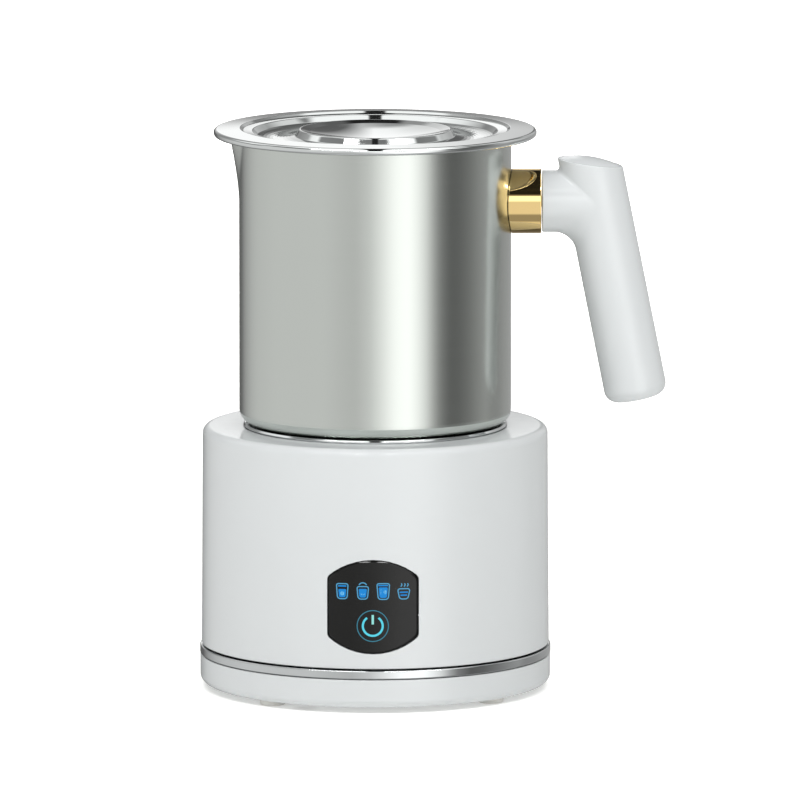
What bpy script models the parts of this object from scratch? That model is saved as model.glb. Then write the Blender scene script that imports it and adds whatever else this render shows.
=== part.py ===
"""A milk frother: a base with a drive and a heater, a jug that lifts off it, a whisk and a lid.

Frame: the origin is on the base's axis at the level it stands on. +Z is up, the handle points to +X,
the spout to -X, and the control window faces -Y. Sizes below are millimetres; MM turns them to metres.
"""

import math

import bmesh
import bpy
from mathutils import Matrix, Vector

MM = 0.001
GAP = 0.3

# Segments round a full circle: large shells, middle-sized rings, small pins.
SHELL_SEGMENTS = 32
RING_SEGMENTS = 24
PIN_SEGMENTS = 10

# Driving dimensions of the base.
FOOT_RADIUS = 5.0
FOOT_CIRCLE = 57.0
FOOT_ANGLES = (48.5, 138.5, 228.5, 318.5)
FOOT_RECESS_TOP = 3.0
PAD_RADIUS = 25.0
PAD_BOTTOM = 1.2
COVER_RADIUS = 65.0
COVER_BOTTOM = 2.0
COVER_TOP = 12.7
COVER_FLOOR = 4.4
COVER_EDGE = 3.0
TRIM_RADIUS = 65.1
TRIM_INNER = 62.7
TRIM_BOTTOM = 13.0
TRIM_TOP = 16.1
HOUSING_FOOT_RADIUS = 64.5
HOUSING_RADIUS = 64.0
HOUSING_BOTTOM = 16.7
DECK = 98.0
DECK_EDGE = 2.8
WALL = 2.4
SCREW_CIRCLE = 57.6
SCREW_ANGLES = (3.5, 123.5, 243.5)
PILLAR_TOP = 9.0

# The seat that the jug stands in.
SEAT_HOLE = 48.5
SEAT_LEDGE_RADIUS = 43.5
SEAT_LEDGE = 90.0
PLATE_RADIUS = 46.2
PLATE_BOTTOM = 90.3
PLATE_TOP = 94.0
BEAD_TOP = 99.3

# The control window on the front.
WINDOW_CENTRE_X = -0.9
WINDOW_HALF_WIDTH = 16.8
WINDOW_SIDE_LOW = 28.9
WINDOW_SIDE_HIGH = 50.7
WINDOW_RISE = 6.4
WINDOW_CORNER = 2.5
WINDOW_FACE = 64.2
WINDOW_BACK = 62.6
SYMBOL_SPACING = 7.53
SYMBOL_HEIGHT = 45.6
POWER_HEIGHT = 32.5
BOARD_FRONT = -53.5

# The drive and the heater under the seat plate.
SENSOR_CIRCLE = 37.2
SENSOR_ANGLE = 225.0
SENSOR_RADIUS = 3.2
MOTOR_RADIUS = 12.0
MOTOR_BOTTOM = 44.0
MOTOR_TOP = 73.7
SHAFT_RADIUS = 1.0
BRACKET_TOP = 76.0
BRACKET_THICKNESS = 2.0
FORMER_FLOOR = 82.0
POST_CIRCLE = 30.0
POST_ANGLES = (45.0, 225.0)
CARRIER_RADIUS = 17.5
CARRIER_BOTTOM = 80.0
CARRIER_TOP = 88.8
MAGNET_CIRCLE = 11.5
MAGNET_ANGLES = (0.0, 180.0)

# The mains inlet at the back.
INLET_HEIGHT = 32.0
INLET_FACE = 63.2
INLET_WIDTH = 20.6
INLET_TALL = 13.4
INLET_DEPTH = 21.0
SOCKET_WIDTH = 17.0
SOCKET_TALL = 9.4
SOCKET_DEPTH = 13.0
INLET_PIN_SPACING = 8.6

# The jug.
JUG_RADIUS = 50.4
JUG_WALL = 1.0
JUG_STEP = 99.3
JUG_FILLET = 5.0
JUG_RIM = 205.8
SPIGOT_RADIUS = 43.5
SPIGOT_BOTTOM = 94.3
JUG_FLOOR = 97.5
SPOUT_START = 182.0
SPOUT_REACH = 3.4
SPOUT_HALF_ANGLE = 14.4

# The handle.
STUB_HEIGHT = 181.7
STUB_START = 61.8
STUB_RADIUS = 11.5
COLLAR_RADIUS = 12.0
GRIP_RADIUS = 11.65
GRIP_LEAN = 11.3
GRIP_BOTTOM = (97.2, 108.1)
GRIP_EDGE = 4.5
ELBOW_RADIUS = 17.6
ELBOW_TUBE = 11.3
CUT_INNER = (68.3, 197.9)
CUT_OUTER = (91.3, 194.8)
CAP_RADIUS = 10.2
CAP_DOME = 2.0

# The whisk.
WHISK_BOTTOM = 99.6
COIL_CIRCLE = 13.6
COIL_RADIUS = 2.7
COIL_WIRE = 0.35
COIL_HEIGHT = 106.0
COIL_TURNS = 18

# The lid.
LID_RADIUS = 59.8
LID_EDGE = 206.1
LID_TOP = 209.1
LID_SHEET = 0.9
TROUGH = 205.8
BOSS_RIM = 208.6
BOWL_BOTTOM = 205.3
PLUG_BOTTOM = 199.0
PLUG_RADIUS = 48.0


# ---------------------------------------------------------------- small helpers


def clear_scene():
    """Empties the scene, so that the script gives the same result each run."""
    for obj in list(bpy.data.objects):
        bpy.data.objects.remove(obj, do_unlink=True)


def finish(name, colour, roughness, metallic=0.0):
    """A plain Principled finish, shared by the sub-parts that have it."""
    made = bpy.data.materials.new(name)
    made.use_nodes = True
    shader = made.node_tree.nodes["Principled BSDF"]
    shader.inputs["Base Color"].default_value = (*colour, 1.0)
    shader.inputs["Roughness"].default_value = roughness
    shader.inputs["Metallic"].default_value = metallic
    return made


def polar(radius, degrees, height=0.0):
    """The point at this radius and angle from +X, in millimetres."""
    angle = math.radians(degrees)
    return (radius * math.cos(angle), radius * math.sin(angle), height)


def arc(centre, radius, start, end, steps):
    """Points along an arc in a plane, from one angle to the other in degrees, ends included."""
    points = []
    for step in range(steps + 1):
        angle = math.radians(start + (end - start) * step / steps)
        points.append((centre[0] + radius * math.cos(angle), centre[1] + radius * math.sin(angle)))
    return points


def rounded_rectangle(width, height, radius, steps=3):
    """The outline of a rectangle with round corners, centred on the origin."""
    across, up = width / 2 - radius, height / 2 - radius
    corners = ((across, up, 0), (-across, up, 90), (-across, -up, 180), (across, -up, 270))
    points = []
    for x, y, turn in corners:
        points += arc((x, y), radius, turn, turn + 90, steps)
    return points


def body_from(bm, name, material, parent, at=(0.0, 0.0, 0.0), turn=(0.0, 0.0, 0.0)):
    """Makes an object of a closed mesh held in millimetres, with its faces turned out."""
    bmesh.ops.recalc_face_normals(bm, faces=bm.faces)
    bmesh.ops.scale(bm, vec=(MM, MM, MM), verts=bm.verts)
    mesh = bpy.data.meshes.new(name)
    bm.to_mesh(mesh)
    bm.free()
    mesh.shade_smooth()
    mesh.set_sharp_from_angle(angle=math.radians(30))
    mesh.materials.append(material)
    obj = bpy.data.objects.new(name, mesh)
    bpy.context.scene.collection.objects.link(obj)
    place(obj, parent, at, turn)
    return obj


def place(obj, parent, at=(0.0, 0.0, 0.0), turn=(0.0, 0.0, 0.0)):
    """Sets an object's place in millimetres and its turn in degrees, under its moving frame."""
    offset = Vector(at) * MM
    if parent is not None:
        obj.parent = parent
        offset -= parent.location
    obj.location = offset
    obj.rotation_euler = [math.radians(angle) for angle in turn]


def loft(rings, closed=False):
    """Joins rings of the same number of points. A ring of one point is a pole."""
    bm = bmesh.new()
    made = [[bm.verts.new(point) for point in ring] for ring in rings]
    pairs = list(zip(made, made[1:]))
    if closed:
        pairs.append((made[-1], made[0]))
    for low, high in pairs:
        count = max(len(low), len(high))
        for step in range(count):
            after = (step + 1) % count
            corners = [low[step % len(low)], low[after % len(low)]]
            corners += [high[after % len(high)], high[step % len(high)]]
            corners = list(dict.fromkeys(corners))
            if len(corners) > 2:
                bm.faces.new(corners)
    if not closed:
        for ring in (made[0], made[-1]):
            if len(ring) > 2:
                bm.faces.new(ring)
    return bm


def turned(name, outline, material, parent=None, segments=RING_SEGMENTS, at=(0, 0, 0), turn=(0, 0, 0)):
    """A closed outline of (radius, height) points turned round the local Z axis."""
    rings = []
    for radius, height in outline:
        if radius == 0:
            rings.append([(0.0, 0.0, height)])
        else:
            rings.append([polar(radius, 360 * step / segments, height) for step in range(segments)])
    closed = not (outline[0][0] == 0 and outline[-1][0] == 0)
    return body_from(loft(rings, closed), name, material, parent, at, turn)


def tube(name, inner, outer, low, high, material, parent=None, segments=RING_SEGMENTS, at=(0, 0, 0)):
    """A straight ring with square edges."""
    outline = [(inner, low), (outer, low), (outer, high), (inner, high)]
    return turned(name, outline, material, parent, segments, at)


def disc(name, radius, low, high, material, parent=None, segments=RING_SEGMENTS, at=(0, 0, 0), edge=0.4):
    """A solid disc or pin with a small chamfer on both edges."""
    outline = [(0, low), (radius - edge, low), (radius, low + edge)]
    outline += [(radius, high - edge), (radius - edge, high), (0, high)]
    return turned(name, outline, material, parent, segments, at)


def rod(name, radius, low, high, material, at, segments=PIN_SEGMENTS):
    """A plain upright cylinder, to add to a body or to cut from it, turned a little off the body's own edges."""
    outline = [(0, low), (radius, low), (radius, high), (0, high)]
    return turned(name, outline, material, None, segments, at, (0, 0, 7))


def prism(name, outline, low, high, material, parent=None, at=(0, 0, 0), turn=(0, 0, 0)):
    """A flat outline in the local XY plane, extruded along the local Z axis."""
    rings = [[(x, y, height) for x, y in outline] for height in (low, high)]
    return body_from(loft(rings), name, material, parent, at, turn)


def gather(name, bodies):
    """Joins several separate tool bodies into one, so that a single Boolean does them all."""
    bm = bmesh.new()
    for body in bodies:
        turn = body.rotation_euler.to_matrix().to_4x4()
        part = body.data.copy()
        part.transform(Matrix.Translation(body.location) @ turn)
        bm.from_mesh(part)
        bpy.data.objects.remove(body, do_unlink=True)
    bmesh.ops.scale(bm, vec=(1 / MM, 1 / MM, 1 / MM), verts=bm.verts)
    return body_from(bm, name, bpy.data.materials[0], None)


def combine(target, tool, operation):
    """Adds or takes away a tool body, which stays in the file as a hidden wire guide."""
    tool.hide_render = True
    tool.display_type = "WIRE"
    modifier = target.modifiers.new(operation.lower(), "BOOLEAN")
    modifier.operation = operation
    modifier.object = tool
    modifier.solver = "EXACT"


def hole(target, radius, low, high, material, at, segments=PIN_SEGMENTS):
    """Cuts an upright round hole in a body."""
    combine(target, rod(f"cut_{target.name}", radius, low, high, material, at, segments), "DIFFERENCE")


def sheet(top, thickness):
    """The closed outline of a pressed sheet from the line of its upper side."""
    under = []
    for index, point in enumerate(top):
        before = Vector(top[max(index - 1, 0)])
        after = Vector(top[min(index + 1, len(top) - 1)])
        along = (after - before).normalized()
        radius = point[0] + along.y * thickness
        under.append((0 if point[0] == 0 else radius, point[1] - along.x * thickness))
    return list(top) + under[::-1]


def wire(name, points, radius, material, parent, cyclic):
    """A round wire through a run of points."""
    curve = bpy.data.curves.new(name, "CURVE")
    curve.dimensions = "3D"
    curve.bevel_depth = radius * MM
    curve.bevel_resolution = 0
    curve.use_fill_caps = True
    spline = curve.splines.new("POLY")
    spline.points.add(len(points) - 1)
    for target, point in zip(spline.points, points):
        target.co = (*(Vector(point) * MM), 1.0)
    spline.use_cyclic_u = cyclic
    curve.materials.append(material)
    obj = bpy.data.objects.new(name, curve)
    bpy.context.scene.collection.objects.link(obj)
    place(obj, parent)
    return obj


def frame(name, at=(0.0, 0.0, 0.0)):
    """An empty on a joint's axis, which carries the pieces that move with it."""
    empty = bpy.data.objects.new(name, None)
    empty.location = Vector(at) * MM
    bpy.context.scene.collection.objects.link(empty)
    return empty


# ---------------------------------------------------------------- the base


def make_bottom_cover(white):
    """The white plinth: a shallow pan with screw pillars, board posts and foot recesses."""
    outline = [(0, PAD_BOTTOM), (PAD_RADIUS, PAD_BOTTOM), (PAD_RADIUS + 0.8, COVER_BOTTOM)]
    centre = (COVER_RADIUS - COVER_EDGE, COVER_BOTTOM + COVER_EDGE)
    outline += arc(centre, COVER_EDGE, -90, 0, 3)
    outline += [(COVER_RADIUS, COVER_TOP), (COVER_RADIUS - WALL, COVER_TOP)]
    outline += [(COVER_RADIUS - WALL, COVER_FLOOR), (0, COVER_FLOOR)]
    cover = turned("bottom_cover", outline, white, None, SHELL_SEGMENTS)
    low = COVER_FLOOR - 1.0
    screw_hole = [(0, 0), (3.4, 0), (3.4, PILLAR_TOP - 1.4), (1.9, PILLAR_TOP - 1.4)]
    screw_hole += [(1.9, PILLAR_TOP + 1), (0, PILLAR_TOP + 1)]
    added, taken = [], []
    for angle in SCREW_ANGLES:
        at = polar(SCREW_CIRCLE, angle)
        added.append(rod("cover_pillar", 5.4, low, PILLAR_TOP, white, at))
        taken.append(turned("screw_hole", screw_hole, white, None, PIN_SEGMENTS, at))
    for x in (-33, 33):
        for y in (-29, 17):
            added.append(rod("board_post", 2.5, low, 9.1, white, (x, y, 0), 6))
    for angle in FOOT_ANGLES:
        at = polar(FOOT_CIRCLE, angle)
        taken.append(rod("foot_recess", FOOT_RADIUS + GAP, 0.0, FOOT_RECESS_TOP, white, at, 14))
    combine(cover, gather("cover_posts", added), "UNION")
    combine(cover, gather("cover_holes", taken), "DIFFERENCE")


def make_feet(rubber):
    """Four soft pads, each pressed up into its recess."""
    for index, angle in enumerate(FOOT_ANGLES, 1):
        at = polar(FOOT_CIRCLE, angle)
        disc(f"foot_{index}", FOOT_RADIUS, 0.0, FOOT_RECESS_TOP - GAP, rubber, None, 14, at, 0.5)


def make_cover_screws(steel):
    """Pan-head screws up through the plinth into the housing's bosses."""
    outline = [(0, 5.2), (2.4, 5.2), (2.9, 5.8), (2.9, 7.3), (1.5, 7.3), (1.5, 19.2), (0, 20.0)]
    for index, angle in enumerate(SCREW_ANGLES, 1):
        turned(f"cover_screw_{index}", outline, steel, None, 8, polar(SCREW_CIRCLE, angle))


def make_trim_ring(chrome):
    """The bright band between the plinth and the housing."""
    low, high, out = TRIM_BOTTOM, TRIM_TOP, TRIM_RADIUS
    outline = [(TRIM_INNER, low), (out - 0.5, low), (out, low + 0.5), (out, high - 0.5)]
    outline += [(out - 0.5, high), (TRIM_INNER, high)]
    turned("trim_ring", outline, chrome, None, SHELL_SEGMENTS)


def window_outline(grow):
    """The window's outline: straight sides, bowed ends and rounded corners, grown by a margin."""
    half = WINDOW_HALF_WIDTH + grow
    bow = (half**2 + WINDOW_RISE**2) / (2 * WINDOW_RISE)
    spread = math.degrees(math.asin(half / bow))
    inner = spread - 5
    top_centre = WINDOW_SIDE_HIGH + grow + WINDOW_RISE - bow
    low_centre = WINDOW_SIDE_LOW - grow - WINDOW_RISE + bow
    points = arc((0, top_centre), bow, 90 - inner, 90 + inner, 6)
    points += corner_arc(-1, 1, half, WINDOW_SIDE_HIGH + grow, spread)
    points += corner_arc(-1, -1, half, WINDOW_SIDE_LOW - grow, spread)[::-1]
    points += arc((0, low_centre), bow, 270 - inner, 270 + inner, 6)
    points += corner_arc(1, -1, half, WINDOW_SIDE_LOW - grow, spread)
    points += corner_arc(1, 1, half, WINDOW_SIDE_HIGH + grow, spread)[::-1]
    return points


def corner_arc(side, end, half, height, spread):
    """Three points round one corner of the window, from its bowed end to its straight side."""
    reach = WINDOW_CORNER * math.tan(math.radians((90 - spread) / 2))
    slope = math.radians(spread)
    on_end = (side * (half - reach * math.cos(slope)), height + end * reach * math.sin(slope))
    on_side = (side * half, height - end * reach)
    middle = (side * (half - reach * 0.18), height)
    return [on_end, middle, on_side]


def front_prism(name, outline, near, far, material, x=0.0, z=0.0):
    """A flat outline in X and Z, extruded towards the front from y = -near to y = -far."""
    return prism(name, outline, near, far, material, None, (x, 0, z), (90, 0, 0))


def make_housing(white):
    """The white cylinder and deck, with its seat, window opening, inlet opening and screw bosses."""
    edge = (HOUSING_RADIUS - DECK_EDGE, DECK - DECK_EDGE)
    outline = [(HOUSING_FOOT_RADIUS, HOUSING_BOTTOM)] + arc(edge, DECK_EDGE, 0, 90, 3)
    outline += [(SEAT_HOLE, DECK), (SEAT_HOLE, SEAT_LEDGE), (SEAT_LEDGE_RADIUS, SEAT_LEDGE)]
    outline += [(SEAT_LEDGE_RADIUS, SEAT_LEDGE - 2), (SEAT_HOLE + WALL, SEAT_LEDGE - 2)]
    outline += [(SEAT_HOLE + WALL, DECK - WALL), (HOUSING_RADIUS - 4.6, DECK - WALL)]
    outline += [(HOUSING_RADIUS - WALL, DECK - 5), (HOUSING_FOOT_RADIUS - WALL, HOUSING_BOTTOM)]
    housing = turned("housing", outline, white, None, SHELL_SEGMENTS)
    boss = [(1.8, 9.3), (4.2, 9.3), (4.2, 17.5), (5.2, 18.5), (5.2, 27.0), (0, 27.0), (0, 20.6), (1.8, 20.6)]
    bosses = []
    for angle in SCREW_ANGLES:
        bosses.append(turned("housing_boss", boss, white, None, PIN_SEGMENTS, polar(SCREW_CIRCLE, angle)))
    combine(housing, gather("housing_bosses", bosses), "UNION")
    opening = front_prism("window_opening", window_outline(GAP), 55, 70, white, WINDOW_CENTRE_X)
    combine(housing, opening, "DIFFERENCE")
    socket = rounded_rectangle(INLET_WIDTH + 2 * GAP, INLET_TALL + 2 * GAP, 3.3)
    inlet = front_prism("inlet_opening", socket, -70, -55, white, 0, INLET_HEIGHT)
    combine(housing, inlet, "DIFFERENCE")


def make_seat(chrome, glass):
    """The chrome ring round the seat and the black glass plate inside it."""
    ring = [(46.5, PLATE_BOTTOM), (SEAT_HOLE - GAP, PLATE_BOTTOM), (SEAT_HOLE - GAP, DECK + GAP)]
    ring += [(48.9, DECK + GAP), (48.8, BEAD_TOP - 0.5), (48.4, BEAD_TOP - 0.1), (47.7, BEAD_TOP)]
    ring += [(47.0, BEAD_TOP - 0.2), (46.5, BEAD_TOP - 0.8)]
    turned("seat_ring", ring, chrome, None, SHELL_SEGMENTS)
    plate = disc("seat_plate", PLATE_RADIUS, PLATE_BOTTOM, PLATE_TOP, glass, None, SHELL_SEGMENTS)
    hole(plate, SENSOR_RADIUS + GAP, 80, 100, glass, polar(SENSOR_CIRCLE, SENSOR_ANGLE))


def make_control_window(dark_glass):
    """The curved touch window, cut from a thin upright ring."""
    window = front_prism("control_window", window_outline(0), 55, 70, dark_glass, WINDOW_CENTRE_X)
    ring = tube("window_curve", WINDOW_BACK, WINDOW_FACE, 10, 70, dark_glass, None, 96)
    combine(window, ring, "INTERSECT")


def symbol_places():
    """The (x, z) places of the four drink symbols and the power symbol."""
    places = []
    for step in (-1.5, -0.5, 0.5, 1.5):
        places.append((WINDOW_CENTRE_X + step * SYMBOL_SPACING, SYMBOL_HEIGHT))
    places.append((WINDOW_CENTRE_X, POWER_HEIGHT))
    return places


def make_control_electronics(clear, board, lamp):
    """The light guide, the touch board and its indicator lamps, behind the window."""
    half = 14.5
    bulge = math.degrees(math.asin(half / 61.5))
    plan = arc((0, 0), 61.5, 270 - bulge, 270 + bulge, 6) + [(half, -55.7), (-half, -55.7)]
    guide = prism("light_guide", plan, 24.5, 54.5, clear)
    for index, (x, z) in enumerate(symbol_places(), 1):
        well = front_prism("light_well", arc((0, 0), 2.2, 0, 315, 7), 50, 70, clear, x, z)
        combine(guide, well, "DIFFERENCE")
        chip = rounded_rectangle(3.2, 2.4, 0.4, 1)
        front_prism(f"indicator_led_{index}", chip, 0.3 - BOARD_FRONT, 1.8 - BOARD_FRONT, lamp, x, z)
    outline = rounded_rectangle(31, 33, 2, 2)
    front_prism("control_board", outline, -BOARD_FRONT - 1.6, -BOARD_FRONT, board, 0, 40)


def make_motor(steel, plated):
    """The drive motor hangs from a bracket, which is screwed to the coil former's posts."""
    low, high, out = MOTOR_BOTTOM, MOTOR_TOP, MOTOR_RADIUS
    can = [(0, low), (4, low), (4, low + 1.5), (out - 1, low + 1.5), (out, low + 2.5), (out, high - 1)]
    can += [(out - 1, high), (3, high), (3, high + 2), (SHAFT_RADIUS + GAP, high + 2)]
    can += [(SHAFT_RADIUS + GAP, high - 14), (0, high - 14)]
    motor = turned("motor_can", can, steel, None, 18)
    bottom = BRACKET_TOP - BRACKET_THICKNESS
    bracket = tube("motor_bracket", 3.4, 34, bottom, BRACKET_TOP, plated)
    outline = [(0, -5.3), (1.0, -5.3), (1.0, GAP), (1.8, GAP), (1.8, 1.4), (0, 1.6)]
    for index, x in enumerate((-8, 8), 1):
        hole(motor, 1.3, high - 4, high + 5, steel, (x, 0, 0), 8)
        hole(bracket, 1.3, bottom - 3, BRACKET_TOP + 3, plated, (x, 0, 0), 8)
        turned(f"motor_screw_{index}", outline, steel, None, 8, (x, 0, BRACKET_TOP))
    outline = [(0, -1.8), (1.9, -1.6), (1.9, -GAP), (1.0, -GAP), (1.0, 6.4), (0, 6.4)]
    for index, angle in enumerate(POST_ANGLES, 1):
        at = polar(POST_CIRCLE, angle, bottom)
        hole(bracket, 1.3, bottom - 3, BRACKET_TOP + 3, plated, polar(POST_CIRCLE, angle), 8)
        turned(f"bracket_screw_{index}", outline, steel, None, 8, at)


def make_heater(former_plastic, copper, ferrite):
    """The induction coil in its former, with ferrite bars under it."""
    low = FORMER_FLOOR
    outline = [(18.5, low), (43.0, low), (43.0, 85.5), (50.2, 85.5), (50.2, 87.7), (43.0, 87.7)]
    outline += [(43.0, 89.4), (41.8, 89.4), (41.8, low + 2), (20.5, low + 2), (20.5, 89.4), (18.5, 89.4)]
    former = turned("coil_former", outline, former_plastic, None)
    post = [(1.3, 76.3), (3.4, 76.3), (3.4, low + 0.5), (0, low + 0.5), (0, 81.2), (1.3, 81.2)]
    posts = []
    for angle in POST_ANGLES:
        posts.append(turned("former_post", post, former_plastic, None, PIN_SEGMENTS, polar(POST_CIRCLE, angle)))
    combine(former, gather("former_posts", posts), "UNION")
    coil = [(20.8, 84.5), (21.4, 84.3), (31.6, 84.3), (32.3, 85), (32.3, 88.4), (31.6, 89.0), (21.4, 89.0)]
    turned("induction_coil", coil + [(20.8, 88.4)], copper, None)
    for index in range(4):
        bar = rounded_rectangle(19, 7, 1, 1)
        at = polar(31, 90 * index)
        prism(f"ferrite_bar_{index + 1}", bar, 78.7, 81.7, ferrite, None, at, (0, 0, 90 * index))


def make_sensor(steel, moving):
    """The spring-loaded feeler that touches the jug's base, and its spring."""
    at = polar(SENSOR_CIRCLE, SENSOR_ANGLE)
    out = SENSOR_RADIUS
    cap = [(0, 88.0), (4.2, 88.0), (4.2, 89.8), (out, 89.8), (out, 93.5), (out - 0.5, PLATE_TOP)]
    cap += [(0, PLATE_TOP)]
    turned("sensor_cap", cap, steel, moving, 16, at)
    turns, steps = 4, 10
    points = []
    for step in range(turns * steps + 1):
        x, y, z = polar(2.6, 360 * step / steps, 84.4 + 3.2 * step / (turns * steps))
        points.append((at[0] + x, at[1] + y, z))
    wire("sensor_spring", points, 0.25, steel, None, False)


def make_rotor(steel, carrier_plastic, magnet, moving):
    """The motor's shaft, the carrier on it and the two drive magnets."""
    disc("motor_shaft", SHAFT_RADIUS, MOTOR_TOP - 13, 88.2, steel, moving, 10, edge=0.2)
    bore = SHAFT_RADIUS + GAP
    outline = [(bore, 78.4), (4, 78.4), (4, CARRIER_BOTTOM), (CARRIER_RADIUS, CARRIER_BOTTOM)]
    outline += [(CARRIER_RADIUS, CARRIER_TOP), (bore, CARRIER_TOP)]
    carrier = turned("magnet_carrier", outline, carrier_plastic, moving)
    for index, angle in enumerate(MAGNET_ANGLES, 1):
        at = polar(MAGNET_CIRCLE, angle)
        hole(carrier, 4.3, 83.7, 95, carrier_plastic, at, 16)
        disc(f"drive_magnet_{index}", 4.0, 84.0, 89.2, magnet, moving, 16, at, 0.3)


def make_power_board(board, can_sleeve, aluminium):
    """The mains board on the plinth's posts, with its large capacitor and a finned heat sink."""
    outline = rounded_rectangle(76, 56, 3, 2)
    prism("power_board", outline, 9.4, 11.0, board, None, (0, -6, 0))
    can = [(0, 11.3), (7.6, 11.3), (8, 11.8), (8, 14), (7.6, 14.6), (8, 15.2), (8, 30.4), (7.4, 31), (0, 31)]
    turned("bulk_capacitor", can, can_sleeve, None, 14, (-24, -10, 0))
    fins = []
    for index in range(5):
        left = -12 + 5 * index
        fins += [(left, 3), (left, 12), (left + 1.6, 12), (left + 1.6, 3)]
    prism("heat_sink", [(9.6, 0), (-12, 0)] + fins, 11.3, 29, aluminium, None, (20, -22, 0))


def make_power_inlet(black, plated):
    """A two-pin mains inlet at the back, with its cavity open to the outside."""
    shell = rounded_rectangle(INLET_WIDTH, INLET_TALL, 3.0)
    inlet = front_prism("power_inlet", shell, -INLET_FACE, INLET_DEPTH - INLET_FACE, black, 0, INLET_HEIGHT)
    cavity = rounded_rectangle(SOCKET_WIDTH, SOCKET_TALL, SOCKET_TALL / 2 - 0.1, 4)
    bottom = SOCKET_DEPTH - INLET_FACE
    combine(inlet, front_prism("socket", cavity, -INLET_FACE - 5, bottom, black, 0, INLET_HEIGHT), "DIFFERENCE")
    outline = [(0, 0), (0.9, 0.3), (1.2, 1.2), (1.2, 17.0), (0, 17.0)]
    for index, x in enumerate((-INLET_PIN_SPACING / 2, INLET_PIN_SPACING / 2), 1):
        bore = front_prism("pin_bore", arc((0, 0), 1.5, 0, 324, 9), -70, -30, black, x, INLET_HEIGHT)
        combine(inlet, bore, "DIFFERENCE")
        at = (x, INLET_FACE - 1.6, INLET_HEIGHT)
        turned(f"inlet_pin_{index}", outline, plated, None, 10, at, (90, 0, 0))


# ---------------------------------------------------------------- the jug


def spout(angle, height):
    """How far the pinched spout stands out of the jug's wall, at an angle from -X and a height."""
    up = min(max((height - SPOUT_START) / (JUG_RIM - SPOUT_START), 0.0), 1.0)
    half = SPOUT_HALF_ANGLE * (0.25 + 0.75 * up)
    share = max(1.0 - abs(angle) / half, 0.0)
    return SPOUT_REACH * up**1.35 * share**1.15


def jug_angles():
    """Directions round the jug in degrees, closer together at the spout."""
    even = {360.0 * step / SHELL_SEGMENTS for step in range(SHELL_SEGMENTS)}
    fine = {180.0 + side * offset for side in (-1, 1) for offset in (3.0, 6.0, 12.0, 14.5)}
    return sorted(even | fine)


def make_jug_shell(steel, moving):
    """The deep-drawn jug: stepped base, straight wall, and a spout pressed out of the rim."""
    fillet = (JUG_RADIUS - JUG_FILLET, JUG_STEP + JUG_FILLET)
    inside = JUG_RADIUS - JUG_WALL
    rows = [SPOUT_START, 190.0, 198.0, JUG_RIM - 0.4]
    outline = [(0, 96.3), (SPIGOT_RADIUS - 1.6, 96.3), (SPIGOT_RADIUS - 1.6, SPIGOT_BOTTOM)]
    outline += [(SPIGOT_RADIUS, SPIGOT_BOTTOM), (SPIGOT_RADIUS, JUG_STEP)]
    outline += arc(fillet, JUG_FILLET, -90, 0, 3)
    outline += [(JUG_RADIUS, height) for height in rows]
    outline += [(JUG_RADIUS - 0.5, JUG_RIM)]
    outline += [(inside, height) for height in reversed(rows)]
    outline += arc((inside - 4, JUG_STEP + 5.2), 4, 0, -90, 2)
    outline += [(42.3, JUG_STEP + 1.2), (42.3, JUG_FLOOR), (0, JUG_FLOOR)]
    rings = []
    for radius, height in outline:
        if radius == 0:
            rings.append([(0.0, 0.0, height)])
        else:
            ring = [polar(radius + spout(angle - 180, height), angle, height) for angle in jug_angles()]
            rings.append(ring)
    body_from(loft(rings), "jug_shell", steel, moving)


def make_jug_fittings(magnetic, steel, moving):
    """The magnetic disc under the jug and the pin that the whisk turns on."""
    disc("jug_base_disc", 41.5, SPIGOT_BOTTOM, 96.0, magnetic, moving, SHELL_SEGMENTS, edge=0.5)
    post = [(0, 97.8), (7, 97.8), (7, 98.6), (6.6, 99.0), (2, 99.0), (2, 113.2), (1.2, 114), (0, 114)]
    turned("whisk_post", post, steel, moving, 12)


def make_collar(gold, moving):
    """The gold collar: a ring round the stub's axis, its inner end hollowed to fit the jug's wall."""
    rings = []
    around = [360 * step / RING_SEGMENTS for step in range(RING_SEGMENTS)]
    for radius in (7.0, COLLAR_RADIUS):
        ring = []
        for angle in around:
            y, z, _ = polar(radius, angle)
            ring.append((math.sqrt((JUG_RADIUS + GAP) ** 2 - y**2), y, z))
        rings.append(ring)
    for radius, x in ((COLLAR_RADIUS, 61.2), (COLLAR_RADIUS - 0.3, 61.5), (7.0, 61.5)):
        rings.append([(x, polar(radius, angle)[0], polar(radius, angle)[1]) for angle in around])
    body_from(loft(rings, closed=True), "handle_collar", gold, moving, (0, 0, STUB_HEIGHT))


def make_handle_fixing(steel, brass, moving):
    """The stud welded to the jug and the threaded sleeve inside the handle's stub."""
    at, sideways = (0, 0, STUB_HEIGHT), (0, 90, 0)
    stud = [(0, 50.9), (5.5, 50.9), (5.5, 52.6), (2.1, 52.6), (2.1, 72.6), (0, 73)]
    turned("handle_stud", stud, steel, moving, 16, at, sideways)
    sleeve = [(2.5, 62.2), (5.9, 62.2), (5.9, 72.5), (2.5, 72.5)]
    turned("handle_insert", sleeve, brass, moving, 16, at, sideways)


def grip_point(radius, angle, along):
    """A point on the leaning grip: its distance from the axis, angle round it, and way up from the bottom."""
    lean = math.radians(GRIP_LEAN)
    side, y, _ = polar(radius, angle)
    x = GRIP_BOTTOM[0] + side * math.cos(lean) - along * math.sin(lean)
    return (x, y, GRIP_BOTTOM[1] + side * math.sin(lean) + along * math.cos(lean))


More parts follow.
